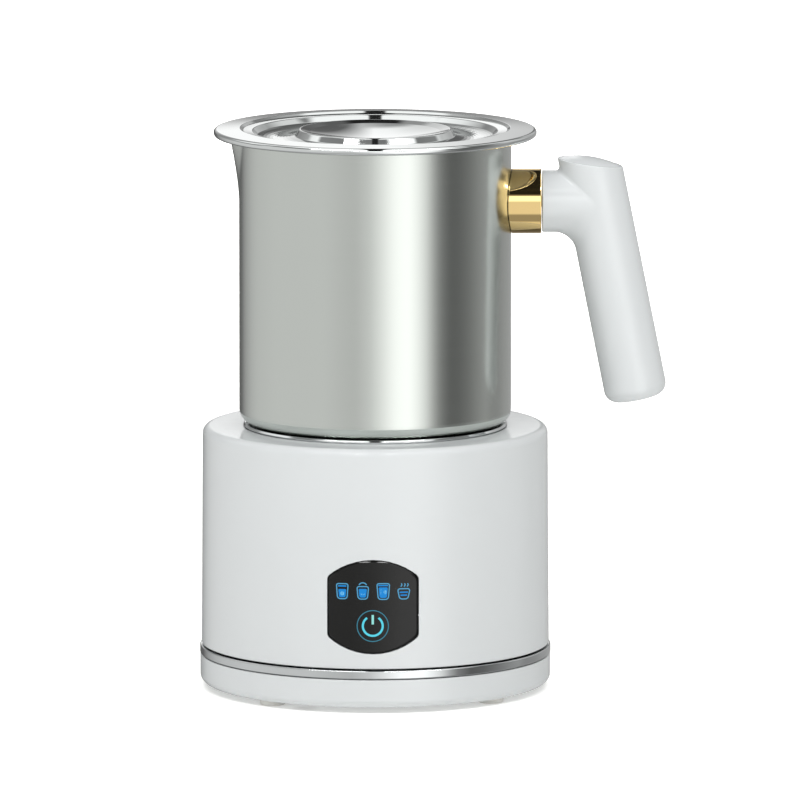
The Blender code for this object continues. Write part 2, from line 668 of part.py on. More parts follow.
def cut_length(radius, angle):
    """How far up the grip its slanting top is, at this distance from the axis and angle round it."""
    slope = (CUT_OUTER[1] - CUT_INNER[1]) / (CUT_OUTER[0] - CUT_INNER[0])
    x, _, z = grip_point(radius, angle, 0.0)
    above = CUT_INNER[1] + slope * (x - CUT_INNER[0]) - z
    lean = math.radians(GRIP_LEAN)
    return above / (math.cos(lean) + slope * math.sin(lean))


def grip_ring(radius, along):
    """A ring square to the grip's axis."""
    return [grip_point(radius, 360 * step / RING_SEGMENTS, along) for step in range(RING_SEGMENTS)]


def slanted_ring(radius, drop):
    """A ring parallel to the slanting top, lower than it by a drop along the axis."""
    angles = [360 * step / RING_SEGMENTS for step in range(RING_SEGMENTS)]
    return [grip_point(radius, angle, cut_length(radius, angle) - drop) for angle in angles]


def elbow_rings():
    """Rings of the rounded corner from the stub down into the grip."""
    lean = math.radians(GRIP_LEAN)
    corner_x = GRIP_BOTTOM[0] - (STUB_HEIGHT - GRIP_BOTTOM[1]) * math.tan(lean)
    turn = 90 - GRIP_LEAN
    start = corner_x - ELBOW_RADIUS * math.tan(math.radians(turn / 2))
    centre_z = STUB_HEIGHT - ELBOW_RADIUS
    rings = [(start - 3.0, STUB_HEIGHT, 0.0)]
    steps = 9
    for step in range(steps + 1):
        angle = turn * step / steps
        bend = math.radians(angle)
        rings.append((start + ELBOW_RADIUS * math.sin(bend), centre_z + ELBOW_RADIUS * math.cos(bend), angle))
    return [elbow_ring(x, z, angle) for x, z, angle in rings]


def elbow_ring(x, z, angle):
    """A ring square to the elbow's path, where the path has turned down by an angle."""
    bend = math.radians(angle)
    ring = []
    for step in range(RING_SEGMENTS):
        y, up, _ = polar(ELBOW_TUBE, 360 * step / RING_SEGMENTS)
        ring.append((x + up * math.sin(bend), y, z + up * math.cos(bend)))
    return ring


def make_grip(white, moving):
    """The white handle: leaning grip, stub and rounded elbow in one, hollow and open at the top."""
    rings = [[grip_point(0, 0, 0)]]
    for radius, along in arc((GRIP_RADIUS - GRIP_EDGE, GRIP_EDGE), GRIP_EDGE, -90, 0, 4):
        rings.append(grip_ring(radius, along))
    rings += [slanted_ring(GRIP_RADIUS, 0.4), slanted_ring(GRIP_RADIUS - 0.4, 0.0)]
    grip = body_from(loft(rings), "handle_grip", white, moving)
    corner_x = GRIP_BOTTOM[0] - (STUB_HEIGHT - GRIP_BOTTOM[1]) * math.tan(math.radians(GRIP_LEAN))
    stub = [(0, STUB_START), (STUB_RADIUS - 0.3, STUB_START), (STUB_RADIUS, STUB_START + 0.3)]
    stub += [(STUB_RADIUS, corner_x), (0, corner_x)]
    stub_body = turned("grip_stub", stub, white, None, RING_SEGMENTS, (0, 0, STUB_HEIGHT), (0, 90, 0))
    combine(grip, stub_body, "UNION")
    combine(grip, body_from(loft(elbow_rings()), "grip_elbow", white, None), "UNION")
    hollow = [grip_ring(8.6, 8.0), slanted_ring(8.6, 3.3), slanted_ring(CAP_RADIUS + GAP, 3.3)]
    hollow += [slanted_ring(CAP_RADIUS + GAP, -5.0)]
    combine(grip, body_from(loft(hollow), "grip_hollow", white, None), "DIFFERENCE")
    bore = [(0, STUB_START - 5), (6.2, STUB_START - 5), (6.2, corner_x - 4), (0, corner_x - 4)]
    bore_body = turned("grip_bore", bore, white, None, 20, (0, 0, STUB_HEIGHT), (0, 90, 0))
    combine(grip, bore_body, "DIFFERENCE")


def make_handle_cap(white, moving):
    """The domed plug that closes the grip's slanting top."""
    rings = [slanted_ring(CAP_RADIUS, 3.0), slanted_ring(CAP_RADIUS, 0.3)]
    for share in (0.97, 0.85, 0.6, 0.3):
        rings.append(slanted_ring(CAP_RADIUS * share, -CAP_DOME * (1 - share**2)))
    rings.append([grip_point(0, 0, cut_length(0, 0) + CAP_DOME)])
    body_from(loft(rings), "handle_cap", white, moving)


# ---------------------------------------------------------------- the whisk


def make_whisk(plastic, steel, magnet, moving):
    """The whisk: a spool on the jug's pin, a spring ring round its waist and two magnets under it."""
    low = WHISK_BOTTOM
    hub = [(2.4, low), (12.6, low), (13.0, low + 0.4), (13.0, low + 3.0), (10.2, low + 3.0), (10.2, 109.4)]
    hub += [(11.4, 109.4), (11.4, 110.4), (4.6, 111.4), (4.0, 116.4), (3.4, 117), (0, 117), (0, 114.6)]
    spool = turned("whisk_hub", hub + [(2.4, 114.6)], plastic, moving, 18)
    for index, angle in enumerate(MAGNET_ANGLES, 1):
        at = polar(8.4, angle)
        hole(spool, 3.3, low - 3, low + 2.3, plastic, at)
        disc(f"whisk_magnet_{index}", 3.0, low + 0.1, low + 2.0, magnet, moving, 12, at, 0.2)
    steps = 7
    points = []
    for step in range(COIL_TURNS * steps):
        around = math.radians(360 * step / steps)
        radius = COIL_CIRCLE + COIL_RADIUS * math.cos(around)
        height = COIL_HEIGHT + COIL_RADIUS * math.sin(around)
        points.append(polar(radius, 360 * step / (COIL_TURNS * steps), height))
    wire("whisk_coil", points, COIL_WIRE, steel, moving, True)


# ---------------------------------------------------------------- the lid


def make_lid_shell(steel, moving):
    """The pressed steel lid: bowl, boss, trough, step up to the flange and a rolled edge."""
    top = [(0, BOWL_BOTTOM), (15.0, BOWL_BOTTOM + 0.9), (26.6, BOSS_RIM - 0.3), (27.8, BOSS_RIM)]
    top += [(28.6, BOSS_RIM - 0.6), (29.7, TROUGH), (42.9, TROUGH), (44.4, TROUGH + 0.6), (47.0, LID_TOP - 0.5)]
    top += [(48.6, LID_TOP), (58.6, LID_TOP), (59.5, LID_TOP - 0.5), (LID_RADIUS, LID_TOP - 1.4)]
    top += [(LID_RADIUS, LID_EDGE)]
    turned("lid_shell", sheet(top, LID_SHEET), steel, moving, SHELL_SEGMENTS)


def make_lid_plug(plastic, silicone, moving):
    """The pan under the lid, which drops into the jug's mouth, and the seal round it."""
    out, low = PLUG_RADIUS, PLUG_BOTTOM
    outline = [(0, low), (out, low), (out, 200.6), (out - 1.1, 200.6), (out - 1.1, 203.0), (out, 203.0)]
    outline += [(out, LID_EDGE), (58.4, LID_EDGE), (58.4, 207.5), (49.5, 207.5), (45.7, 204.8)]
    outline += [(45.7, low + 1.4), (0, low + 1.4)]
    turned("lid_liner", outline, plastic, moving, SHELL_SEGMENTS)
    seal = [(47.2, 200.9), (48.4, 200.9), (49.0, 201.8), (48.4, 202.7), (47.2, 202.7)]
    turned("lid_seal", seal, silicone, moving, SHELL_SEGMENTS)


# ---------------------------------------------------------------- the whole frother


def make_base(rotor, sensor):
    """Everything that stays on the worktop when the jug is lifted."""
    white = finish("white_gloss_plastic", (0.87, 0.87, 0.86), 0.18)
    chrome = finish("chrome_plate", (0.80, 0.81, 0.82), 0.06, 1.0)
    steel = finish("zinc_steel", (0.55, 0.56, 0.58), 0.35, 1.0)
    board = finish("circuit_board", (0.03, 0.20, 0.09), 0.45)
    black = finish("black_plastic", (0.02, 0.02, 0.02), 0.45)
    former = finish("former_plastic", (0.16, 0.15, 0.14), 0.5)
    magnet = finish("magnet_plate", (0.60, 0.60, 0.62), 0.25, 1.0)
    make_bottom_cover(white)
    make_feet(finish("foot_rubber", (0.62, 0.60, 0.57), 0.75))
    make_cover_screws(steel)
    make_trim_ring(chrome)
    make_housing(white)
    make_seat(chrome, finish("black_glass", (0.01, 0.01, 0.01), 0.08))
    make_control_window(finish("dark_window", (0.025, 0.025, 0.024), 0.1))
    make_control_electronics(
        finish("clear_plastic", (0.80, 0.82, 0.84), 0.2), board, finish("lamp_blue", (0.15, 0.45, 0.85), 0.3)
    )
    make_motor(steel, steel)
    copper = finish("copper_winding", (0.72, 0.35, 0.18), 0.4, 1.0)
    make_heater(former, copper, finish("ferrite", (0.06, 0.06, 0.06), 0.7))
    make_sensor(steel, sensor)
    make_rotor(steel, former, magnet, rotor)
    aluminium = finish("aluminium", (0.8, 0.8, 0.8), 0.4, 1.0)
    make_power_board(board, finish("capacitor_sleeve", (0.03, 0.04, 0.10), 0.4), aluminium)
    make_power_inlet(black, magnet)


def make_jug(jug, whisk, lid):
    """The jug with its handle, the whisk that turns in it, and the lid."""
    satin = finish("satin_steel", (0.60, 0.62, 0.62), 0.32, 1.0)
    polished = finish("polished_steel", (0.70, 0.71, 0.72), 0.10, 1.0)
    white = finish("white_gloss_handle", (0.87, 0.87, 0.86), 0.18)
    brass = finish("brass", (0.80, 0.60, 0.30), 0.3, 1.0)
    magnet = finish("magnet_nickel", (0.60, 0.60, 0.62), 0.25, 1.0)
    pale = finish("grey_plastic", (0.35, 0.36, 0.37), 0.4)
    make_jug_shell(satin, jug)
    make_jug_fittings(finish("magnetic_steel", (0.45, 0.46, 0.47), 0.4, 1.0), polished, jug)
    make_collar(finish("gold_plate", (0.83, 0.62, 0.30), 0.12, 1.0), jug)
    make_handle_fixing(polished, brass, jug)
    make_grip(white, jug)
    make_handle_cap(white, jug)
    make_whisk(pale, polished, magnet, whisk)
    make_lid_shell(polished, lid)
    make_lid_plug(pale, finish("silicone", (0.75, 0.76, 0.77), 0.6), lid)


def main():
    clear_scene()
    jug = frame("jug_frame")
    whisk = frame("whisk_frame")
    lid = frame("lid_frame")
    rotor = frame("rotor_frame")
    sensor = frame("sensor_frame", polar(SENSOR_CIRCLE, SENSOR_ANGLE))
    make_base(rotor, sensor)
    make_jug(jug, whisk, lid)


main()
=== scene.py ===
# %% [markdown]
# # A milk frother
# A white base with a touch window holds a steel jug that lifts off. The jug has a pinched spout, a
# gold-coloured collar and a white handle, and a polished lid drops into its mouth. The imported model
# already holds the sizes, so this lesson makes the fine surfaces and the finishes round it.

# %% Load the fixed frame
import math

import bmesh
import bpy
import numpy as np
from mathutils import Matrix, Vector


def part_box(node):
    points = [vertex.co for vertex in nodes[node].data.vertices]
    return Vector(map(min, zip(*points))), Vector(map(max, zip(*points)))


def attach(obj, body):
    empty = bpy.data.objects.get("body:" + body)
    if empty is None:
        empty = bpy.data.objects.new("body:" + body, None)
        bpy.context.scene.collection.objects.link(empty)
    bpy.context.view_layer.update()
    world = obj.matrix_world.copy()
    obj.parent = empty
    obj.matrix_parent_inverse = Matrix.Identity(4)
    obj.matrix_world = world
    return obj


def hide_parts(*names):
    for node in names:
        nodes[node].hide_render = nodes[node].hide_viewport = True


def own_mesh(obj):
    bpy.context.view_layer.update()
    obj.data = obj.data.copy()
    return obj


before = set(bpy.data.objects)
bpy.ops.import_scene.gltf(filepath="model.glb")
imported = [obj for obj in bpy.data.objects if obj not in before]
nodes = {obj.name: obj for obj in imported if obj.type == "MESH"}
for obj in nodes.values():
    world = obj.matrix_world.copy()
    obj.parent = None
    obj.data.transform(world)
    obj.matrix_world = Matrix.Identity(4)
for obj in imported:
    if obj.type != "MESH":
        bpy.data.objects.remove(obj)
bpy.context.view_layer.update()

# %% [markdown]
# ## Sizes
# The outlines below are drawn in millimetres, because that is how such parts are dimensioned. One
# constant turns them to metres when a mesh is made.

# %% Driving dimensions, in millimetres
MM = 0.001
PLINTH_RADIUS = 65.0
PLINTH_BOTTOM = 2.0
PLINTH_TOP = 12.7
FOOT_RADIUS = 5.0
FOOT_CIRCLE = 57.0
FOOT_TURN = 48.5
SCREW_CIRCLE = 57.6
SCREW_TURN = 3.5
TRIM_RADIUS = 65.1
HOUSING_RADIUS = 64.0
HOUSING_FOOT = (64.5, 16.7)
DECK = 98.0
SEAT_HOLE = 48.5
PLATE_RADIUS = 46.2
PLATE_TOP = 94.0
SENSOR_CIRCLE = 37.2
SENSOR_ANGLE = 225.0
SENSOR_RADIUS = 3.2
JUG_RADIUS = 50.4
JUG_STEP = 99.3
JUG_RIM = 205.8
SPOUT_START = 182.0
STUB_HEIGHT = 181.7
LID_RADIUS = 59.8
LID_EDGE = 206.1
LID_TOP = 209.1

# %% [markdown]
# ## Small helpers
# Colours are written the way a paint chart gives them, as sRGB hex, and Blender's shaders work in
# linear light, so one function turns them. Another adds one node with its settings and its links, and
# a third puts a new object in the scene.


# %% Helpers for colours and nodes
def colour(hex_code):
    """Turns an sRGB hex colour to the linear values that a shader takes."""
    values = []
    for start in (1, 3, 5):
        share = int(hex_code[start:start + 2], 16) / 255
        values.append(share / 12.92 if share <= 0.04045 else ((share + 0.055) / 1.055) ** 2.4)
    return (*values, 1.0)


def add(tree, kind, settings=None, inputs=None):
    """Adds a node. Each input gets a value, or a link from a socket or from a node's first output.

    The settings may be just the name of an operation, and the inputs just values in their order."""
    node = tree.nodes.new(kind)
    if isinstance(settings, str):
        settings = {"operation": settings}
    if isinstance(inputs, tuple):
        inputs = dict(enumerate(inputs))
    for name, value in (settings or {}).items():
        setattr(node, name, value)
    for name, value in (inputs or {}).items():
        if isinstance(value, bpy.types.Node):
            value = value.outputs[0]
        if isinstance(value, bpy.types.NodeSocket):
            tree.links.new(value, node.inputs[name])
        else:
            node.inputs[name].default_value = value
    return node


def in_scene(name, data):
    """An object of this mesh, lamp or camera, put in the scene."""
    obj = bpy.data.objects.new(name, data)
    bpy.context.scene.collection.objects.link(obj)
    return obj


def surface(name, base, roughness, metallic=0.0, fixed=None):
    """A Principled finish, with what is the same all over set on its own sockets."""
    material = bpy.data.materials.new(name)
    material.use_nodes = True
    shader = material.node_tree.nodes["Principled BSDF"]
    shader.inputs["Base Color"].default_value = colour(base)
    shader.inputs["Roughness"].default_value = roughness
    shader.inputs["Metallic"].default_value = metallic
    for socket, value in (fixed or {}).items():
        shader.inputs[socket].default_value = value
    return material, material.node_tree, shader


def grain(tree, size, stretch=(1.0, 1.0, 1.0), detail=2.0):
    """Noise on Object coordinates with spots this many millimetres across, drawn out by a stretch."""
    place = add(tree, "ShaderNodeTexCoord").outputs["Object"]
    scale = [1.0 / (size * MM * share) for share in stretch]
    mapping = add(tree, "ShaderNodeMapping", None, {"Vector": place, "Scale": scale})
    return add(tree, "ShaderNodeTexNoise", None, {"Vector": mapping, "Scale": 1.0, "Detail": detail})


def vary(tree, shader, pattern, socket, low, high):
    """Drives a socket between two hex colours, or two values, which noise of 0.3 to 0.7 spans."""
    if isinstance(low, str):
        stops = {0: pattern, 6: colour(low), 7: colour(high)}
        mixed = add(tree, "ShaderNodeMix", {"data_type": "RGBA"}, stops).outputs[2]
    else:
        span = {0: pattern, 1: 0.3, 2: 0.7, 3: low, 4: high}
        mixed = add(tree, "ShaderNodeMapRange", None, span).outputs[0]
    tree.links.new(mixed, shader.inputs[socket])


print("helpers ready")

# %% [markdown]
# ## The studio
# Shiny metal shows its surroundings, so the studio is made first. A maker's display table is lit with
# a white tent, bright panels and dark cards. Panels could be meshes, but a sky that is worked out from
# the direction of the light is smoother and never stands in the way of another view. Each list below
# goes once round the horizon in degrees, with 0 at the front, positive angles to the right and 180
# behind, and gives the tent's brightness there. A colour ramp can't hold more than 1, so the ramps
# hold shares of the brightest panel.


# %% The tent's panels and cards
BRIGHTEST = 2.0
BAND = [
    (-180, 0.3), (-170, 0.14), (-157, 0.14), (-144, 0.43), (-130, 0.64), (-119, 0.74), (-94, 0.81),
    (-45, 0.81), (-30, 0.74), (-16, 0.68), (-4, 0.84), (7, 1.22), (17, 1.6), (29, 1.75), (38, 1.4),
    (45, 1.0), (50, 0.6), (56, 0.30), (66, 0.15), (76, 0.17), (88, 0.25), (101, 0.37), (109, 0.42),
    (118, 0.34), (132, 0.36), (143, 0.42), (165, 0.42), (180, 0.3),
]
UPPER = [
    (-180, 1.2), (-178.5, 1.15), (-176.5, 0.9), (-172, 0.6), (-165, 0.4), (-150, 0.3), (-120, 0.5),
    (-95, 0.25), (-88, 0.8), (-50, 0.8), (-46, 1.2), (-18, 1.3), (-14, 2.0), (14, 2.0), (18, 1.4),
    (48, 1.4), (54, 0.12), (88, 0.12), (100, 0.5), (130, 0.7), (150, 0.5), (165, 0.6), (172, 0.25),
    (175.5, 0.12), (177.5, 0.15), (178.6, 0.6), (179.3, 1.2), (180, 1.2),
]
HIGH = [
    (-180, 0.55), (-179.4, 0.45), (-178, 0.36), (-172, 0.35), (-150, 0.3), (-125, 1.1), (-106, 1.3),
    (-100, 0.3), (22, 0.2), (30, 1.5), (72, 1.5), (78, 0.25), (112, 0.3), (118, 0.9), (130, 0.9),
    (150, 0.3), (170, 0.12), (176.5, 0.14), (177.6, 0.25), (179, 0.75), (180, 0.55),
]
LOWER = [(-180, 0.12), (-120, 0.45), (-60, 0.45), (0, 0.4), (60, 0.4), (120, 0.35), (180, 0.12)]


def round_ramp(tree, turn, stops):
    """A ramp round the horizon, from (degrees, brightness) stops. The front is its middle."""
    ramp = add(tree, "ShaderNodeValToRGB", None, {0: turn})
    while len(ramp.color_ramp.elements) < len(stops):
        ramp.color_ramp.elements.new(0.5)
    for element, (degrees, bright) in zip(ramp.color_ramp.elements, stops):
        share = bright / BRIGHTEST
        element.position = 0.5 + degrees / 360
        element.color = (share, share, share, 1.0)
    return ramp


def blend_above(tree, height, start, end, low, high):
    """Goes from one colour to another where a part of the light's direction rises past a step."""
    step = {0: height, 1: start, 2: end}
    share = add(tree, "ShaderNodeMapRange", {"interpolation_type": "SMOOTHSTEP"}, step)
    colours = {0: share, 6: low, 7: high}
    return add(tree, "ShaderNodeMix", {"data_type": "RGBA"}, colours).outputs[2]


print("stops round the tent", len(BAND), len(UPPER), len(HIGH), len(LOWER))

# %% [markdown]
# The ramps are stacked from the table up. Heights are the upward part of the light's direction: 0 is
# level and 1 is straight up. A narrow dark card runs overhead from front to back, and draws the dark
# breaks in the lid's bright bands. Seen straight, the tent is plain white, and matt surfaces get only
# part of its light, so that the lamps can model them.

# %% The sky
ROOF = (0.65, 0.65, 0.65, 1.0)
TABLE = (0.45, 0.45, 0.45, 1.0)
CARD = (0.01, 0.01, 0.01, 1.0)
CARD_EDGE = (0.05, 0.075)
MATT_SHARE = 0.52
SEEN_WHITE = (1.0, 1.0, 0.985)
world = bpy.data.worlds.new("tent")
world.use_nodes = True
bpy.context.scene.world = world
sky = world.node_tree
aim = add(sky, "ShaderNodeTexCoord").outputs["Generated"]
right, inwards, height = add(sky, "ShaderNodeSeparateXYZ", None, {0: aim}).outputs
front = add(sky, "ShaderNodeMath", "MULTIPLY", (inwards, -1.0))
bearing = add(sky, "ShaderNodeMath", "ARCTAN2", (right, front))
turn = add(sky, "ShaderNodeMath", "MULTIPLY_ADD", (bearing, 1.0 / (2.0 * math.pi), 0.5))
band, upper, high, lower = (round_ramp(sky, turn, stops) for stops in (BAND, UPPER, HIGH, LOWER))

# Each step gives the heights between which one layer takes over from the layer below it.
tent = blend_above(sky, height, 0.06, 0.14, band, upper)
tent = blend_above(sky, height, 0.38, 0.46, tent, high)
tent = blend_above(sky, height, 0.80, 0.86, tent, ROOF)
sideways = add(sky, "ShaderNodeMath", "ABSOLUTE", (right,))
beside_card = blend_above(sky, sideways, *CARD_EDGE, CARD, tent)
tent = blend_above(sky, height, 0.47, 0.53, tent, beside_card)
tent = blend_above(sky, height, -0.72, -0.6, lower, tent)
tent = blend_above(sky, height, -0.97, -0.93, TABLE, tent)

rays = add(sky, "ShaderNodeLightPath").outputs
seen = (*[value / BRIGHTEST for value in SEEN_WHITE], 1.0)
shown = {0: rays["Is Camera Ray"], 6: tent, 7: seen}
tent = add(sky, "ShaderNodeMix", {"data_type": "RGBA"}, shown).outputs[2]
dimming = (rays["Is Diffuse Ray"], (MATT_SHARE - 1.0) * BRIGHTEST, BRIGHTEST)
strength = add(sky, "ShaderNodeMath", "MULTIPLY_ADD", dimming)
sky.links.new(tent, sky.nodes["Background"].inputs["Color"])
sky.links.new(strength.outputs[0], sky.nodes["Background"].inputs["Strength"])
print("sky nodes", len(sky.nodes))

# %% [markdown]
# The floor is a wide, matt, pale sheet that glows a little, more towards its far edge, so that no
# horizon shows. It is kept out of mirror reflections, where the tent's own lower part stands for it.
# A large soft lamp overhead grounds the object with a faint shadow, two narrow strips draw the bright
# lines on the rounded edges, and a lamp behind lights the back.


# %% Floor and lamps
def make_floor(half):
    """A flat square sheet, wide enough to fill the view to its far edge."""
    mesh = bpy.data.meshes.new("floor")
    corners = [(-half, -half, 0), (half, -half, 0), (half, half, 0), (-half, half, 0)]
    mesh.from_pydata(corners, [], [(0, 1, 2, 3)])
    floor = in_scene("floor", mesh)
    glowing = {"Emission Color": (1.0, 1.0, 0.99, 1.0)}
    paper, tree, shader = surface("matt_lit_sheet", "#f4f4f2", 0.9, 0.0, glowing)
    place = add(tree, "ShaderNodeTexCoord").outputs["Object"]
    away = add(tree, "ShaderNodeVectorMath", "LENGTH", (place,)).outputs["Value"]
    # Half the distance runs from 0.3 to 0.7 between 0.6 and 1.4 metres from the middle.
    half_away = add(tree, "ShaderNodeMath", "MULTIPLY", (away, 0.5))
    vary(tree, shader, half_away, "Emission Strength", 0.3, 0.75)
    vary(tree, shader, grain(tree, 40.0), "Base Color", "#f3f3f1", "#f6f6f4")
    mesh.materials.append(paper)
    floor.visible_glossy = False


def make_lamp(name, place, target, size, power, mirrored):
    """A soft lamp of a width and a height that faces a point, seen in mirror reflections or not."""
    data = bpy.data.lights.new(name, "AREA")
    data.shape = "RECTANGLE"
    data.size, data.size_y = size
    data.energy = power
    lamp = in_scene(name, data)
    lamp.location = place
    lamp.rotation_euler = (Vector(target) - Vector(place)).to_track_quat("-Z", "Y").to_euler()
    lamp.visible_glossy = mirrored


# Name, place, aim, width and height in metres, power in watts, and whether mirrors show it.
LAMPS = (
    ("overhead", (-0.15, -0.75, 1.5), (0.0, 0.0, 0.1), (1.3, 1.3), 10.0, False),
    ("strip_left", (-0.54, -0.86, 1.33), (0.0, 0.0, 0.05), (0.92, 0.14), 6.5, True),
    ("strip_right", (0.54, -0.86, 1.33), (0.0, 0.0, 0.05), (0.92, 0.14), 6.5, True),
    ("fill_behind", (0.1, 1.5, 0.9), (0.0, 0.0, 0.1), (1.3, 1.3), 14.0, False),
)
make_floor(12.0)
for lamp in LAMPS:
    make_lamp(*lamp)
print("lamps", len(LAMPS))

# %% [markdown]
# The camera stands five metres off with a long lens, so that upright lines stay upright, and looks
# down a little, so that the lid and the deck open up.

# %% Camera
VIEW_TARGET = Vector((0.0092, 0.0, 0.1072))
VIEW_DISTANCE = 5.0
VIEW_ELEVATION = math.radians(8.4)
VIEW_WIDTH = 0.2968
camera_data = bpy.data.cameras.new("camera")
camera_data.sensor_width = 36.0
camera_data.lens = camera_data.sensor_width * VIEW_DISTANCE / VIEW_WIDTH
camera_data.clip_end = 100.0
camera = in_scene("camera", camera_data)
back = Vector((0.0, -math.cos(VIEW_ELEVATION), math.sin(VIEW_ELEVATION)))
camera.location = VIEW_TARGET + VIEW_DISTANCE * back
camera.rotation_euler = (-back).to_track_quat("-Z", "Y").to_euler()
bpy.context.scene.camera = camera
bpy.context.scene.view_settings.view_transform = "Standard"
print("camera lens", round(camera_data.lens), "mm")

# %% [markdown]
# ## Finishes
# Each finish starts from what the real one is and how it was made.
# Moulded white ABS has a deep even gloss, with the faint waviness that the mould's polish leaves.


# %% White gloss plastic
def white_abs(name, dark, light):
    """Injection-moulded gloss ABS: nearly even colour, a soft waviness and small changes of gloss."""
    material, tree, shader = surface(name, light, 0.14, 0.0, {"IOR": 1.5})
    vary(tree, shader, grain(tree, 22.0), "Base Color", dark, light)
    vary(tree, shader, grain(tree, 9.0), "Roughness", 0.12, 0.17)
    waviness = {"Height": grain(tree, 2.5, detail=1.0), "Distance": 0.004 * MM, "Strength": 0.3}
    tree.links.new(add(tree, "ShaderNodeBump", None, waviness).outputs[0], shader.inputs["Normal"])
    return material


white_body = white_abs("white_gloss_abs_body", "#c4c7c8", "#c6c9ca")
white_handle = white_abs("white_gloss_abs_handle", "#c4c7c8", "#c6c9ca")

# %% [markdown]
# Stainless steel comes in two finishes here. The jug's wall is satin: it was polished round and
# round with a fine belt, so light spreads up and down and the reflections have soft upright edges.
# The lid and the pins are mirror-polished, with only faint scratches.


# %% Stainless steels and chrome
def satin_steel():
    """Belt-polished steel with lines round the jug, drawn coarser than the real grit so that they show."""
    fixed = {"Anisotropic": 0.35, "Anisotropic Rotation": 0.25}
    material, tree, shader = surface("satin_stainless_steel", "#cbcfca", 0.2, 1.0, fixed)
    lines = grain(tree, 0.6, (120.0, 120.0, 1.0), 2.0)
    vary(tree, shader, lines, "Roughness", 0.19, 0.215)
    vary(tree, shader, lines, "Base Color", "#cacec9", "#ccd0cb")
    around = add(tree, "ShaderNodeTangent", {"direction_type": "RADIAL", "axis": "Z"})
    tree.links.new(around.outputs[0], shader.inputs["Tangent"])
    return material


def mirror_metal(name, base, roughness, wave=0.0):
    """Polished metal: clear reflections, softened by hairline scratches, and a slight wave on sheet."""
    material, tree, shader = surface(name, base, roughness, 1.0)
    vary(tree, shader, grain(tree, 0.6, (40.0, 40.0, 1.0)), "Roughness", roughness, roughness + 0.02)
    if wave:
        waviness = {"Height": grain(tree, 14.0, detail=1.0), "Distance": wave * MM, "Strength": 0.15}
        tree.links.new(add(tree, "ShaderNodeBump", None, waviness).outputs[0], shader.inputs["Normal"])
    return material


def dull_metal(name, base, dark, roughness, size):
    """Plated or cast metal that isn't seen close: a mottled colour and an uneven gloss."""
    material, tree, shader = surface(name, base, roughness, 1.0)
    pattern = grain(tree, size, detail=4.0)
    vary(tree, shader, pattern, "Base Color", dark, base)
    vary(tree, shader, pattern, "Roughness", roughness + 0.1, roughness)
    return material


satin = satin_steel()
polished = mirror_metal("polished_stainless_steel", "#d9dcdb", 0.04, 0.006)
chrome = mirror_metal("chrome_plating", "#cdd0d0", 0.04)
gold = mirror_metal("gold_toned_plating", "#e8ca8c", 0.03)
magnetic = dull_metal("magnetic_steel", "#b4b6b5", "#9fa1a0", 0.34, 0.5)
zinc = dull_metal("zinc_plated_steel", "#aeb2b4", "#92979a", 0.32, 3.0)
brass = dull_metal("turned_brass", "#cfa75a", "#b98f45", 0.28, 1.0)
nickel = dull_metal("nickel_plated_magnet", "#b9b8b2", "#a3a29c", 0.22, 2.0)
plated_pin = dull_metal("nickel_plated_brass", "#c9c7bf", "#b3b1a8", 0.2, 2.0)
copper = dull_metal("enamelled_copper", "#c77745", "#a55a2e", 0.35, 0.8)
aluminium = dull_metal("extruded_aluminium", "#c4c6c8", "#a7a9ab", 0.4, 1.5)


# %% [markdown]
# The rest are glass, plastics and rubber. What is moulded with a fine spark-eroded texture looks
# matt, because its skin is full of pits a few tenths of a millimetre wide. The symbols glow evenly,
# since they are printed behind the glass and lit from the back.


# %% Glass, plastics, rubber and the small electronic finishes
def moulded(name, base, other, roughness, size, depth, fixed=None):
    """A moulded skin: two close shades and a fine texture of one grain size."""
    material, tree, shader = surface(name, base, roughness, 0.0, fixed)
    pattern = grain(tree, size, detail=3.0)
    vary(tree, shader, pattern, "Base Color", other, base)
    vary(tree, shader, pattern, "Roughness", roughness - 0.04, roughness + 0.06)
    relief = {"Height": pattern, "Distance": depth * MM, "Strength": 0.4}
    tree.links.new(add(tree, "ShaderNodeBump", None, relief).outputs[0], shader.inputs["Normal"])
    return material


window_fixed = {"IOR": 1.45, "Specular IOR Level": 0.35}
window_glass = moulded("smoked_hard_glass", "#10100f", "#0e0e0d", 0.08, 6.0, 0.0005, window_fixed)
black_glass = moulded("black_ceramic_glass", "#0d0d0e", "#0a0a0b", 0.1, 8.0, 0.002, {"IOR": 1.52})
clear = moulded("clear_polycarbonate", "#dfe3e6", "#d5dadd", 0.15, 5.0, 0.002, {"Transmission Weight": 0.85})
rubber = moulded("pale_foot_rubber", "#d7d6d2", "#cbcac5", 0.7, 0.4, 0.02)
black_plastic = moulded("black_spark_eroded_plastic", "#1b1b1c", "#151516", 0.45, 0.25, 0.02)
grey_plastic = moulded("grey_food_safe_plastic", "#a3a7a8", "#999d9e", 0.35, 0.3, 0.01)
former_plastic = moulded("glass_filled_nylon", "#4b4743", "#3c3935", 0.5, 0.4, 0.02)
silicone = moulded("milky_silicone", "#d4d7d8", "#c9cccd", 0.5, 1.0, 0.01, {"Subsurface Weight": 0.15})
ferrite = moulded("pressed_ferrite", "#3a3a3b", "#2c2c2d", 0.7, 0.3, 0.03)
sleeve = moulded("capacitor_film_sleeve", "#1d2b4a", "#18243f", 0.35, 3.0, 0.01)
board = moulded("green_solder_mask", "#1e6b3c", "#185930", 0.35, 1.2, 0.03)
lamp_body = moulded("blue_lamp_resin", "#5fa9ea", "#4c93d6", 0.25, 0.5, 0.01)


